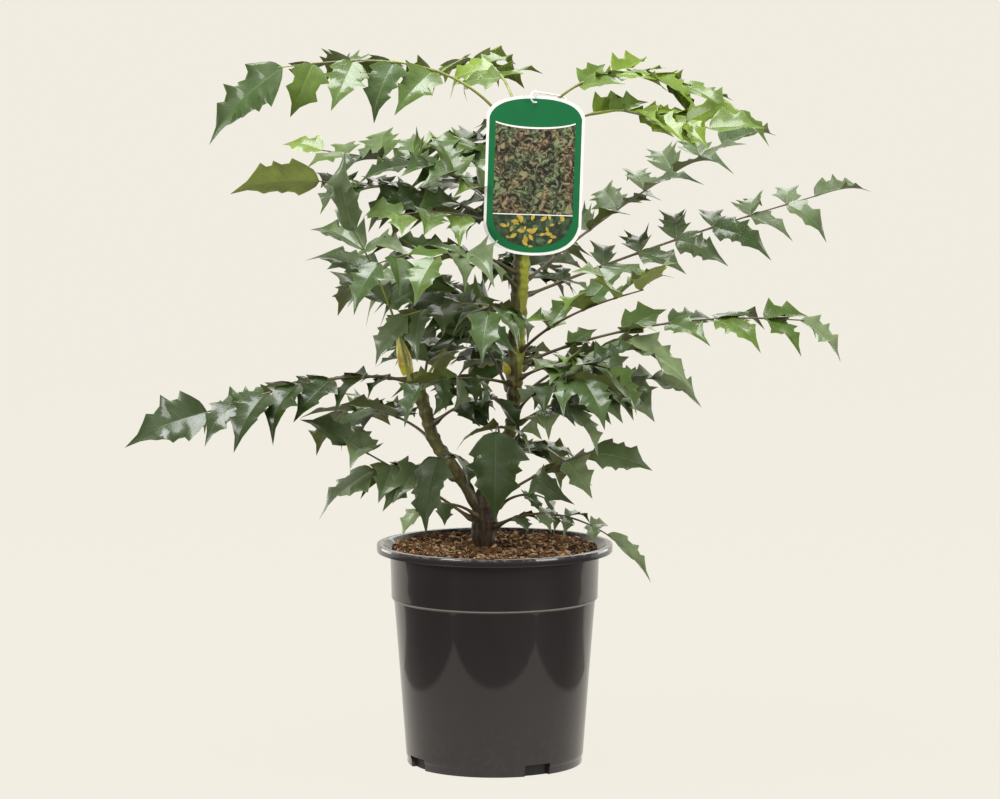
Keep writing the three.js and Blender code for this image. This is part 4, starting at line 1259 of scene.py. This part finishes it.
def bud_piece(name, settings, look):
    """A bud: a pointed body whose scales wrap round it. Along the solid's own axis the radius is
    a spindle, and a saw wave that climbs as it turns lifts each scale's edge."""
    corners = np.array([list(v.co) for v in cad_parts[name].data.vertices])
    by_height = corners[np.argsort(corners[:, 2])]
    base = by_height[:BUD_END_CORNERS].mean(axis=0)
    tip = by_height[-BUD_END_CORNERS:].mean(axis=0)
    axis = (tip - base) / np.linalg.norm(tip - base)
    off = corners - base
    radius = np.linalg.norm(off - np.outer(off @ axis, axis), axis=1).max()
    t = np.linspace(0, 1, BUD_RINGS)
    spindle = np.interp(t, SPINDLE_PLACES, SPINDLE_WIDTHS)
    saw = (t[:, None] * settings.scales + around(BUD_SIDES) / np.pi) % 1.0
    lifted = spindle[:, None] * (1 - SCALE_LIFT + SCALE_LIFT * saw**0.6)
    path = base + t[:, None] * (tip - base)
    shape = Shape()
    shape.tube(rings_round(path, BACK, BUD_SLIM * radius * lifted, BUD_SIDES))
    finish_piece(shape.build(name.replace("bud", "budscales"), [look], 35.0), "bud", name)


class MAHONIA_OT_buds(bpy.types.Operator):
    """Make the buds with wrapped scales"""
    bl_idname = "mahonia.buds"
    bl_label = "Buds"

    def execute(self, context):
        settings = context.scene.mahonia_buds
        look = bud_material(settings)
        for name in ("bud_main", "bud_left", "bud_side"):
            bud_piece(name, settings, look)
        return {"FINISHED"}


# Pot and soil

# The pot's outline in millimetres, as radius and height, from the middle of the underside out,
# up, over the rim and down the inside. A short step rounds each edge.
LIP = 203.4
RIM_TOP = 211
RIM_RADIUS = 112.5
POT_OUTLINE = [
    (0, 0), (60, 0), (82.2, 0), (83.3, 0.3), (83.8, 1.2), (83.8, 6.6), (84.1, 7.4), (84.7, 8.2),
    (86.5, 33), (88.4, 58), (90.2, 83), (92.1, 108), (94, 133), (95.8, 154), (96.3, 157.6),
    (97.2, 158.6), (98.2, 159.2), (98.6, 160.2), (98.5, 161.4), (98.8, 172), (99.2, 186),
    (99.7, 200), (100.1, 202.6), (101, LIP), (110.9, LIP), (112.1, LIP + 0.3),
    (RIM_RADIUS, LIP + 1.2), (RIM_RADIUS, 209.8), (112.1, 210.7), (111, RIM_TOP),
    (107.4, RIM_TOP), (106.4, 210.6), (105.6, 209.6), (99.4, 203.6), (98, 201.6), (96.9, 161),
    (94.4, 156), (82.8, 15), (76, 15), (76, 3), (0, 3),
]
# The ledge's heights, whose row is painted pale as a painted highlight, the notches in millimetres
# and in degrees round the pot, and how close a row or column lies to each side of a notch's edge
LEDGE = (158.0, 160.0)
NOTCH_TOP = 11.0
NOTCH_INSET = 6.0
NOTCH_HALF = 13.5
NOTCH_TURNS = (299, 29, 119, 209)
NOTCH_ROW = 0.05
NOTCH_COLUMN = 0.06
FOOT_RADIUS = 84.6
# Slots of the pot: the notches' recesses in a dark plastic as painted shade, the ledge's row in a
# pale colour as a painted highlight, and the lip
SLOT_RECESS_SHADE, SLOT_LEDGE_HIGHLIGHT, SLOT_LIP = 1, 2, 3


def with_notch_rows(outline):
    """The outline with two close rows where the outer wall passes the notches' top."""
    rows = [outline[0]]
    for (low_radius, low), (radius, height) in zip(outline, outline[1:]):
        if low < NOTCH_TOP < height:
            middle = low_radius + (radius - low_radius) * (NOTCH_TOP - low) / (height - low)
            rows += [(middle, NOTCH_TOP - NOTCH_ROW), (middle, NOTCH_TOP + NOTCH_ROW)]
        rows.append((radius, height))
    return np.array(rows)


def pot_turns(sides, half):
    """Degrees round the pot: even ones, and two close ones at each edge of each notch."""
    turns = list(np.arange(sides) * 360 / sides)
    for notch in NOTCH_TURNS:
        turns += [(notch + edge * half + step) % 360
                  for edge in (-1, 1) for step in (-NOTCH_COLUMN, NOTCH_COLUMN)]
    return np.array(sorted(turns))


class MAHONIA_OT_pot(bpy.types.Operator):
    """Turn the pot's outline into a smooth shell with four notches in its foot"""
    bl_idname = "mahonia.pot"
    bl_label = "Pot"

    def execute(self, context):
        settings = context.scene.mahonia_pot
        outline = with_notch_rows(POT_OUTLINE)
        outline = outline * [settings.rim_radius / (RIM_RADIUS * MM),
                             settings.height / (RIM_TOP * MM)]
        height = outline[:, 1]
        half = math.degrees(NOTCH_HALF / FOOT_RADIUS)
        turns = pot_turns(settings.sides, half)
        off = np.abs((turns[:, None] - np.array(NOTCH_TURNS) + 180) % 360 - 180).min(axis=1)
        # The outer wall is the first half of the outline
        wall = np.arange(len(outline)) < len(outline) // 2
        cut = (wall & (height < NOTCH_TOP))[:, None] & (off < half)
        radius = np.repeat(outline[:, :1], len(turns), axis=1)
        radius = np.where(cut, np.minimum(radius, FOOT_RADIUS - NOTCH_INSET), radius)
        angle = np.radians(turns)
        points = np.stack([radius * np.cos(angle), radius * np.sin(angle),
                           np.repeat(height[:, None], len(turns), axis=1)], axis=-1)
        # The notches' recessed faces take a much darker plastic: painted shade
        slots = np.where(cut[:-1] & cut[1:], SLOT_RECESS_SHADE, 0)
        # The ledge's row takes a pale colour: a painted highlight, not scuffing
        slots[(wall & (height > LEDGE[0]) & (height < LEDGE[1]))[:-1]] = SLOT_LEDGE_HIGHLIGHT
        slots[height[:-1] >= LIP] = SLOT_LIP
        looks = [
            pot_material(settings, "pot_plastic", clean=0.07, dust_and_highlight_height=0.0, share=0.03),
            # Painted shade in the notches' recesses: the plastic at a fifth of its colour
            plastic_material("pot_recess", shade(settings.colour, 0.2), roughness=0.8),
            # Painted highlight along the ledge: a darker tone of the pale dust colour
            plastic_material("pot_scuffed", shade(settings.dust_and_highlight_colour, 0.65), roughness=0.45),
            # The rim's top is paler: partly dust and partly a painted highlight
            pot_material(settings, "pot_rim", clean=0.2085, dust_and_highlight_height=0.2103, share=0.5),
        ]
        shape = Shape()
        shape.add(points * MM, grid_faces(len(outline), len(turns), wrap=True, flip=True),
                  slots.ravel())
        finish_piece(shape.build("pot_shell", looks, 34.0), "pot", "pot")
        return {"FINISHED"}


# Soil in millimetres: its side as radius and height, its dome as distance and height, and lumps
# that are flat at the canes' foot
SOIL_RADIUS = 97.8
SOIL_SIDE = np.array([(98.3, 165.0), (SOIL_RADIUS, 185.0), (SOIL_RADIUS, 201.5)])
DOME_PLACES = (0, 45, 65, 99)
DOME_HEIGHTS = (SOIL_TOP, SOIL_TOP, SOIL_TOP - 0.3, 207.8)
LUMP_HEIGHT = 0.9
LUMP_FREE = 22
SOIL_RINGS = 70
SOIL_COLUMNS = 150


def soil_height(x, y):
    """The soil's top in millimetres: a low dome by the distance to the pot's axis, with uneven
    lumps that are sines of the place."""
    r = np.hypot(x, y)
    lump = LUMP_HEIGHT * hum(x * 0.31 + 1, y * 0.27, (x + y) * 0.17, (x - y) * 0.43)
    return np.interp(r, DOME_PLACES, DOME_HEIGHTS) + np.clip(r / LUMP_FREE, 0, 1) * lump


# Chips: a unit box, the shares of the chip size that its length, width and thickness have, how
# sizes and corners vary, the tilt in radians, the reach and lift in millimetres, and the share
# of the disc at the canes' foot that is free of them. Then the part of chips in each tone
CHIP_CORNERS = np.array([[x, y, z] for x in (-1, 1) for y in (-1, 1) for z in (-1, 1)]) / 2
CHIP_FACES = np.array([[0, 1, 3, 2], [4, 6, 7, 5], [0, 4, 5, 1], [2, 3, 7, 6], [0, 2, 6, 4],
                       [1, 5, 7, 3]])
CHIP_LENGTH, CHIP_WIDTH, CHIP_THICKNESS = (0.7, 1.8), (0.4, 0.9), (0.18, 0.45)
CHIP_SPREAD = 0.38
CHIP_BROKEN = 0.3
CHIP_TILT = 0.34
CHIP_REACH = 95
CHIP_LIFT = (-0.2, 1.1)
CHIP_FREE = 0.008
CHIP_SHARES = {"brown": 0.48, "tan": 0.22, "dark": 0.3}


def chip_points(count, size, draw):
    """Broken chips: boxes with jittered corners, turned at random about three axes, scattered
    evenly over the disc and laid on the soil. Rows are chips, each with eight corners."""
    scale = size * draw.lognormal(0, CHIP_SPREAD, (count, 1, 1)) * np.stack(
        [draw.uniform(*CHIP_LENGTH, count), draw.uniform(*CHIP_WIDTH, count),
         draw.uniform(*CHIP_THICKNESS, count)], axis=1)[:, None]
    corners = CHIP_CORNERS * scale * (1 + draw.uniform(-CHIP_BROKEN, CHIP_BROKEN, (count, 8, 3)))
    spin = draw.uniform(0, 2 * np.pi, count)
    tip, lean = draw.normal(0, CHIP_TILT, (2, count))
    for angle, (a, b) in ((tip, (0, 2)), (lean, (1, 2)), (spin, (0, 1))):
        c, s = np.cos(angle)[:, None], np.sin(angle)[:, None]
        corners[..., a], corners[..., b] = (c * corners[..., a] - s * corners[..., b],
                                            s * corners[..., a] + c * corners[..., b])
    r = CHIP_REACH * np.sqrt(draw.uniform(CHIP_FREE, 1, count))
    t = draw.uniform(0, 2 * np.pi, count)
    x, y = r * np.cos(t), r * np.sin(t)
    middle = np.stack([x, y, soil_height(x, y) + draw.uniform(*CHIP_LIFT, count)], axis=1)
    return corners + middle[:, None] * MM


class MAHONIA_OT_soil(bpy.types.Operator):
    """Fill the pot with lumpy mix and scatter chips of three tones on it"""
    bl_idname = "mahonia.soil"
    bl_label = "Soil"

    def execute(self, context):
        settings = context.scene.mahonia_soil
        self.bed(settings)
        draw = np.random.default_rng(settings.seed)
        colours = {"brown": settings.brown, "tan": settings.tan, "dark": shade(settings.dark, 1.1)}
        for tone, share in CHIP_SHARES.items():
            count = int(settings.chips * share)
            corners = chip_points(count, settings.chip_size, draw)
            faces = (CHIP_FACES[None] + 8 * np.arange(count)[:, None, None]).reshape(-1, 4)
            shape = Shape()
            shape.add(corners, faces)
            look = soil_material("chip_" + tone, colours[tone])
            finish_piece(shape.build("chips_" + tone, [look], 30.0), "soil")
        return {"FINISHED"}

    def bed(self, settings):
        """The body under the chips: its foot from the axis out, its side, and its top back in."""
        angle = around(SOIL_COLUMNS)
        r = np.concatenate([SOIL_SIDE[:, 0], np.linspace(SOIL_RADIUS, 0.0, SOIL_RINGS)])
        x, y = r[:, None] * np.cos(angle), r[:, None] * np.sin(angle)
        z = soil_height(x, y)
        z[:len(SOIL_SIDE)] = SOIL_SIDE[:, 1:]
        points = np.stack([x, y, z], axis=-1)
        body = np.concatenate([points[:1] * UP, points])
        shape = Shape()
        shape.add(body * MM, grid_faces(len(body), SOIL_COLUMNS, wrap=True, flip=True))
        look = soil_material("soil_dark", settings.dark)
        finish_piece(shape.build("soil_bed", [look], 60.0), "soil", "soil")


# Tag and loop, in millimetres

TAG_WIDTH = 92.0
TAG_HEIGHT = 150.0
TAG_THICKNESS = 0.8
TAG_FOOT_SHOULDER = 26.0
TAG_HEAD_SHOULDER = 18.0
TAG_ARCH = 0.88
TAG_CENTRE = np.array([37.0, -20.0, 562.0])
TAG_LEAN = math.radians(1.8)
TAG_HOLE_RADIUS = 2.2
TAG_HOLE_DROP = 7.0
STRIP_HEIGHT = 38.0
TAG_COLUMNS = 49
TAG_ROWS = 25
SLOT_WHITE, SLOT_GREEN, SLOT_PANEL, SLOT_STRIP, SLOT_LEAF, SLOT_HERB = range(6)

# The white lines under the header and over the strip: how far the first one's lower and upper
# edges sag, and the least width of both
HEADER_SAG = 10.5
LINE_SAG = 9.7
LINE_WIDTH = 0.9

# The strewn leaves: how many, the box and the ellipse that they lie in, their length, and the
# part of them that is ochre. Then a leaf's stations, its half width as a share of its length,
# how many layers of ink it lies over the first layer, and how much further the next one does
STREWN_COUNT = 46
STREWN_X, STREWN_Z = (-34, 34), (-31, -3)
STREWN_HALF, STREWN_DEPTH = 33, 27
STREWN_LENGTH = (4, 8)
STREWN_SEED = 5
OCHRE_SHARE = 0.6
LEAF_STATIONS = 9
LEAF_HALF = 0.24
LEAF_LAYER, LEAF_STEP = 1.5, 0.01


def arch(x, half_width, shoulder):
    """How far an arched end of the tag falls below its middle at a distance to the side: the
    quadratic curve with its control at TAG_ARCH of the half width, solved for its share."""
    q = np.clip(np.abs(x) / half_width, 0, 1)
    k = TAG_ARCH
    t = (k - np.sqrt(np.maximum(k * k - (2 * k - 1) * q, 0))) / (2 * k - 1)
    return shoulder * t**2


def tag_place(x, z, out):
    """Points of the tag's own plane in the plant's axes. out is the distance in front of it."""
    c, s = math.cos(TAG_LEAN), math.sin(TAG_LEAN)
    return np.stack([x * c + z * s, np.broadcast_to(-out, np.shape(x)), z * c - x * s],
                    axis=-1) + TAG_CENTRE


def tag_sheet(shape, half_width, top, bottom, out, front, slot):
    """A thin printed layer between two curves of x, with square ends, on the front or the back."""
    x = np.linspace(-half_width, half_width, TAG_COLUMNS)
    rows = np.linspace(0, 1, TAG_ROWS)[:, None]
    z = bottom(x) + (top(x) - bottom(x)) * rows
    sign = 1 if front else -1
    layer = tag_place(np.broadcast_to(x, z.shape), z, sign * out)
    shape.add(layer * MM, grid_faces(*z.shape, flip=front), slot)


class MAHONIA_OT_tag(bpy.types.Operator):
    """Print the tag: a white card with a green band, a bare header, a mottled panel and a strip
    of leaf shapes, and hang it on a smooth loop"""
    bl_idname = "mahonia.tag"
    bl_label = "Tag"

    def execute(self, context):
        settings = context.scene.mahonia_tag
        self.card(settings)
        self.loop(settings)
        return {"FINISHED"}

    def card(self, settings):
        """The card and its printed layers, each a little further out than the one below."""
        border, band, ink = settings.border / MM, settings.band / MM, settings.ink / MM
        half, high = TAG_WIDTH / 2, TAG_HEIGHT / 2

        def head(x):
            """The print's upper edge: the tag's own arch, a border further in."""
            return high - border - arch(x, half - border, TAG_HEAD_SHOULDER)

        def foot(inset):
            """The tag's lower arch, an inset further in."""
            return lambda x: inset - high + arch(x, half - inset, TAG_FOOT_SHOULDER)

        def header(sag):
            """Half an ellipse that sags from the ends of the upper arch."""
            return lambda x: high - border - TAG_HEAD_SHOULDER - sag * np.sqrt(
                np.maximum(1 - (x / (half - border)) ** 2, 0))

        def level(height):
            """A level line."""
            return lambda x: np.full_like(x, height)

        shape = Shape()
        low = STRIP_HEIGHT - high
        inner = half - band
        for front in (True, False):
            first = TAG_THICKNESS / 2 + ink
            second, third = first + ink, first + 2 * ink
            tag_sheet(shape, half - border, head, foot(border), first, front, SLOT_GREEN)
            tag_sheet(shape, inner, header(HEADER_SAG), level(low), second, front, SLOT_PANEL)
            tag_sheet(shape, inner, lambda x: header(LINE_SAG)(x) + LINE_WIDTH,
                      header(HEADER_SAG), third, front, SLOT_WHITE)
            tag_sheet(shape, inner, level(low), foot(band), second, front, SLOT_STRIP)
            tag_sheet(shape, inner, level(low + LINE_WIDTH), level(low), third, front, SLOT_WHITE)
            for n, leaf in enumerate(strewn_leaves()):
                out = first + (LEAF_LAYER + LEAF_STEP * n) * ink
                print_leaf(shape, leaf, low, out, front)
        looks = self.looks(settings)
        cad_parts["tag"].material_slots[0].material = looks[SLOT_WHITE]
        finish_piece(shape.build("tag_print", looks, 20.0), "tag")

    def looks(self, settings):
        """The card's plastic and its inks, in the order of their slots."""
        strip, leaf = settings.strip, settings.leaf
        return [
            plastic_material("tag_white", settings.white),
            plastic_material("tag_green", settings.green),
            panel_material(settings),
            plastic_material("tag_strip", strip, shade(strip, 3.5), size=220.0, share=0.8),
            plastic_material("tag_leaf", leaf, shade(leaf, 0.5), size=180.0, share=0.6),
            plastic_material("tag_herb", shade(strip, 5), strip, size=200.0, share=0.6),
        ]

    def loop(self, settings):
        """The loop: a round wire on a smooth closed curve through the solid's own stations, which
        go through the hole, over the tag's edge and round the stalk."""
        stations, sides = loop_stations()
        count = len(stations)
        t = np.linspace(0, count / (count + 1), WIRE_STEPS * count, endpoint=False)
        path = smooth(np.vstack([stations, stations[:2]]), t)
        along = unit(np.roll(path, -1, axis=0) - np.roll(path, 1, axis=0))
        first = smooth(np.vstack([sides, sides[:2]]), t)
        shape = Shape()
        radii = np.full(len(path), LOOP_WIRE)
        shape.tube(rings_round(path, first, radii, WIRE_SIDES, along) * MM, closed=True)
        look = plastic_material("loop_white", settings.white, roughness=0.4)
        finish_piece(shape.build("tag_wire", [look], 60.0), "loop", "tag_loop")


def print_leaf(shape, leaf, low, out, front):
    """One printed leaf: a lens, whose half width is a sine of the share of its length to a small
    power."""
    x0, z0, angle, length, slot = leaf
    t = np.linspace(0, 1, LEAF_STATIONS)
    width = LEAF_HALF * length * np.sin(np.pi * t) ** 0.8
    along = np.stack([t, t], axis=1) * length
    across = np.stack([width, -width], axis=1)
    c, s = math.cos(angle), math.sin(angle)
    points = tag_place(x0 + along * c - across * s, low + z0 + along * s + across * c,
                       out if front else -out)
    shape.add(points * MM, grid_faces(LEAF_STATIONS, 2, flip=not front), slot)


def strewn_leaves():
    """The printed strip's motif: small leaves strewn at random, as x, z, angle, length, slot."""
    draw = np.random.default_rng(STREWN_SEED)
    leaves = []
    while len(leaves) < STREWN_COUNT:
        x, z = draw.uniform(*STREWN_X), draw.uniform(*STREWN_Z)
        angle, length = draw.uniform(0, 2 * math.pi), draw.uniform(*STREWN_LENGTH)
        if (x / STREWN_HALF) ** 2 + ((z - STREWN_Z[1]) / STREWN_DEPTH) ** 2 < 1:
            slot = SLOT_LEAF if draw.random() < OCHRE_SHARE else SLOT_HERB
            leaves.append((x, z, angle, length, slot))
    return leaves


# The loop's solid: its wire's radius, the stations and radius of each round end, how far the
# ends' centres are from the hole and the stalk, and how the stalk's point is searched for. Then
# the finer wire's steps between stations and its sides
LOOP_WIRE = 0.8
LOOP_END_STEPS = 7
LOOP_HALF = 5.0
LOOP_REACH = 2.0
LOOP_BACK = 1.0
LOOP_RISE = 4.0
LOOP_SEARCH = 0.35
LOOP_SEARCH_STEPS = 40
WIRE_STEPS = 4
WIRE_SIDES = 10


def loop_stations():
    """The loop's places and side directions: half a turn in front of the tag's hole and half a
    turn round the stalk, on the line between the two."""
    offset = TAG_HEIGHT / 2 - TAG_HOLE_DROP
    hole = TAG_CENTRE + np.array([offset * math.sin(TAG_LEAN), 0, offset * math.cos(TAG_LEAN)])
    frond = next(f for f in FRONDS if f["name"] == "top_right_upper")
    path = stalk_path(frond)
    spots = [stalk_at(path, LOOP_SEARCH * n / LOOP_SEARCH_STEPS) for n in range(LOOP_SEARCH_STEPS)]
    held, way = min(spots, key=lambda spot: abs(spot[0][2] - hole[2] - LOOP_RISE))
    along = unit(held - hole)
    across = unit(UP - along * along[2])
    round_stalk = unit(way - along * way.dot(along))
    front = hole - along * LOOP_REACH + UP * (TAG_HOLE_RADIUS - LOOP_WIRE - GAP + LOOP_HALF)
    back = held - along * LOOP_BACK
    places, sides = [], []
    ends = ((front, across, math.pi / 2), (back, np.cross(round_stalk, along), -math.pi / 2))
    for centre, over, start in ends:
        for n in range(LOOP_END_STEPS):
            turn = start + math.pi * n / (LOOP_END_STEPS - 1)
            places.append(centre + LOOP_HALF * (along * math.cos(turn) + over * math.sin(turn)))
            sides.append(np.cross(along, over))
    return np.array(places), np.array(sides)


# Stage


# Soft lights: place and size in metres, power in watts, and colour
LIGHTS = {
    "overhead": ((-0.3, -0.2, 2.6), 1.3, 88.0, (1.0, 1.0, 1.0)),
    "left_front": ((-2.2, -2.3, 1.6), 1.1, 58.0, (1.0, 0.98, 0.95)),
    "right_front": ((2.4, -1.9, 1.1), 1.2, 48.0, (1.0, 0.98, 0.95)),
    "behind": ((0.6, 2.4, 1.9), 1.6, 20.0, (1.0, 1.0, 1.0)),
    "left_side": ((-1.5, 1.2, 0.5), 0.8, 9.0, (1.0, 0.99, 0.96)),
    "right_side": ((1.5, 1.2, 0.5), 0.8, 9.0, (1.0, 0.99, 0.96)),
}
LIGHT_AIM = Vector((0.0, 0.0, 0.4))
CAMERA_AIM = Vector((0.0051, 0.0, 0.3485))
SENSOR_WIDTH = 36.0

# The paper in metres: half its width, from its front edge to where it turns up, the bend's
# radius, and its top. Then how many columns of points it has
PAPER_HALF = 7.0
PAPER_FRONT, PAPER_BACK = -6.0, 3.5
PAPER_BEND = 1.5
PAPER_TOP = 6.0
PAPER_STRIPS = 9

# Where the paper is dark in reflections, as spans of depth in front, distance to the side and
# depth beside the plant
DARK_FRONT = (-0.335, -0.355)
DARK_ASIDE = (0.33, 0.36)
DARK_BESIDE = (0.34, 0.28)


def soft_light(name, place, size, power, colour):
    """A square soft light that points at the plant."""
    data = bpy.data.lights.new(name, "AREA")
    data.shape = "SQUARE"
    data.size = size
    data.energy = power
    data.color = colour
    lamp = bpy.data.objects.new(name, data)
    lamp.location = place
    lamp.rotation_euler = (LIGHT_AIM - Vector(place)).to_track_quat("-Z", "Y").to_euler()
    bpy.context.scene.collection.objects.link(lamp)


def paper_points():
    """The paper as a grid: a floor that turns up behind in a quarter circle, swept along X."""
    turn = np.linspace(0, np.pi / 2, 24)
    floor = np.stack([np.linspace(PAPER_FRONT, PAPER_BACK, 12), np.zeros(12)], axis=1)
    bend = np.stack([PAPER_BACK + PAPER_BEND * np.sin(turn),
                     PAPER_BEND - PAPER_BEND * np.cos(turn)], axis=1)
    wall = np.stack([np.full(6, PAPER_BACK + PAPER_BEND),
                     np.linspace(PAPER_BEND + 0.3, PAPER_TOP, 6)], axis=1)
    line = np.vstack([floor, bend[1:], wall])
    x = np.linspace(-PAPER_HALF, PAPER_HALF, PAPER_STRIPS)[:, None]
    return np.stack(np.broadcast_arrays(x, line[:, 0], line[:, 1]), axis=-1)


def paper_material(settings):
    """Pale paper that glows evenly and is clear from behind. Part of its glow lights nothing,
    and reflections find it dark in front of the plant and at its sides."""
    look, shader, nodes, spot = new_material("paper", roughness=0.95, specular_ior_level=0.0,
                                             emission_strength=settings.glow)
    nodes.put(shader["Base Color"], shade(settings.backdrop, 0.01))
    grain = nodes.maths("MULTIPLY", nodes.noise(spot["Object"], 3.0), 0.03)
    tone = nodes.mix(grain, settings.backdrop, shade(settings.backdrop, 0.9))
    place = nodes.axes(spot["Object"])
    front = nodes.span(place["Y"], *DARK_FRONT)
    aside = nodes.span(nodes.maths("ABSOLUTE", place["X"]), *DARK_ASIDE)
    beside = nodes.maths("MULTIPLY", aside, nodes.span(place["Y"], *DARK_BESIDE))
    ray = nodes.add("ShaderNodeLightPath").outputs
    dark = nodes.maths("MULTIPLY", nodes.maths("MAXIMUM", front, beside), ray["Is Glossy Ray"])
    tone = nodes.mix(ray["Is Diffuse Ray"], tone, shade(settings.backdrop, 1 - settings.spent))
    nodes.put(shader["Emission Color"], nodes.mix(dark, tone, shade(settings.backdrop, 0.17)))
    clear = nodes.add("ShaderNodeBsdfTransparent").outputs["BSDF"]
    behind = nodes.add("ShaderNodeNewGeometry").outputs["Backfacing"]
    glowing = look.node_tree.nodes["Principled BSDF"].outputs["BSDF"]
    one_way = nodes.add("ShaderNodeMixShader", {0: behind, 1: glowing, 2: clear})
    output = look.node_tree.nodes["Material Output"]
    nodes.put(output.inputs["Surface"], one_way.outputs["Shader"])
    return look


class MAHONIA_OT_stage(bpy.types.Operator):
    """Set the camera, the pale paper sweep and the soft lights"""
    bl_idname = "mahonia.stage"
    bl_label = "Stage"

    def execute(self, context):
        settings = context.scene.mahonia_stage
        scene = context.scene
        scene.view_settings.view_transform = "Standard"
        data = bpy.data.cameras.new("camera")
        data.lens = settings.lens
        data.sensor_width = SENSOR_WIDTH
        camera = bpy.data.objects.new("camera", data)
        away = Vector((0, -math.cos(settings.elevation), math.sin(settings.elevation)))
        camera.location = CAMERA_AIM + away * settings.distance
        camera.rotation_euler = (-away).to_track_quat("-Z", "Y").to_euler()
        scene.collection.objects.link(camera)
        scene.camera = camera
        self.paper(settings)
        self.room(settings)
        for name, light in LIGHTS.items():
            soft_light(name, *light)
        return {"FINISHED"}

    def paper(self, settings):
        """The paper sweep behind and below the plant, as stage."""
        points = paper_points()
        shape = Shape()
        shape.add(points, grid_faces(*points.shape[:2]))
        shape.build("paper_sweep", [paper_material(settings)], 80.0)

    def room(self, settings):
        """The world: even light from all round, seen past the paper's edge as more paper."""
        world = bpy.data.worlds.new("room")
        world.use_nodes = True
        nodes = Nodes(world.node_tree)
        light = world.node_tree.nodes["Background"]
        nodes.put(light.inputs["Color"], settings.sky)
        nodes.put(light.inputs["Strength"], settings.sky_strength)
        paper = nodes.add("ShaderNodeBackground", {"Color": settings.backdrop,
                                                   "Strength": settings.glow})
        seen = nodes.add("ShaderNodeLightPath").outputs["Is Camera Ray"]
        both = nodes.add("ShaderNodeMixShader", {0: seen, 1: light.outputs["Background"],
                                                 2: paper.outputs["Background"]})
        output = world.node_tree.nodes["World Output"]
        nodes.put(output.inputs["Surface"], both.outputs["Shader"])
        bpy.context.scene.world = world


class MAHONIA_PT_panel(bpy.types.Panel):
    """The plant's pieces, in the order that they are made"""
    bl_idname = "MAHONIA_PT_panel"
    bl_label = "Potted mahonia"
    bl_space_type = "VIEW_3D"
    bl_region_type = "UI"
    bl_category = "Mahonia"

    def draw(self, context):
        for operator, settings in STEPS:
            self.layout.operator(operator.bl_idname)
            group = getattr(context.scene, settings)
            for key in group.bl_rna.properties.keys():
                if key not in ("rna_type", "name"):
                    self.layout.prop(group, key)


SETTINGS = {
    "mahonia_pot": PotSettings,
    "mahonia_soil": SoilSettings,
    "mahonia_canes": CaneSettings,
    "mahonia_buds": BudSettings,
    "mahonia_fronds": FrondSettings,
    "mahonia_tag": TagSettings,
    "mahonia_stage": StageSettings,
}
STEPS = (
    (MAHONIA_OT_stage, "mahonia_stage"),
    (MAHONIA_OT_pot, "mahonia_pot"),
    (MAHONIA_OT_soil, "mahonia_soil"),
    (MAHONIA_OT_canes, "mahonia_canes"),
    (MAHONIA_OT_buds, "mahonia_buds"),
    (MAHONIA_OT_fronds, "mahonia_fronds"),
    (MAHONIA_OT_tag, "mahonia_tag"),
)
GROUPS = build_groups()


def register():
    """Adds the settings, the operators and the panel."""
    for name, group in SETTINGS.items():
        bpy.utils.register_class(group)
        setattr(bpy.types.Scene, name, PointerProperty(type=group))
    for operator, _ in STEPS:
        bpy.utils.register_class(operator)
    bpy.utils.register_class(MAHONIA_PT_panel)


def unregister():
    """Takes the panel, the operators and the settings out again."""
    bpy.utils.unregister_class(MAHONIA_PT_panel)
    for operator, _ in reversed(STEPS):
        bpy.utils.unregister_class(operator)
    for name, group in reversed(SETTINGS.items()):
        delattr(bpy.types.Scene, name)
        bpy.utils.unregister_class(group)


def main():
    """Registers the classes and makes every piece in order."""
    register()
    for operator, _ in STEPS:
        category, name = operator.bl_idname.split(".")
        getattr(getattr(bpy.ops, category), name)()
    bpy.context.view_layer.update()


if __name__ == "__main__":
    main()
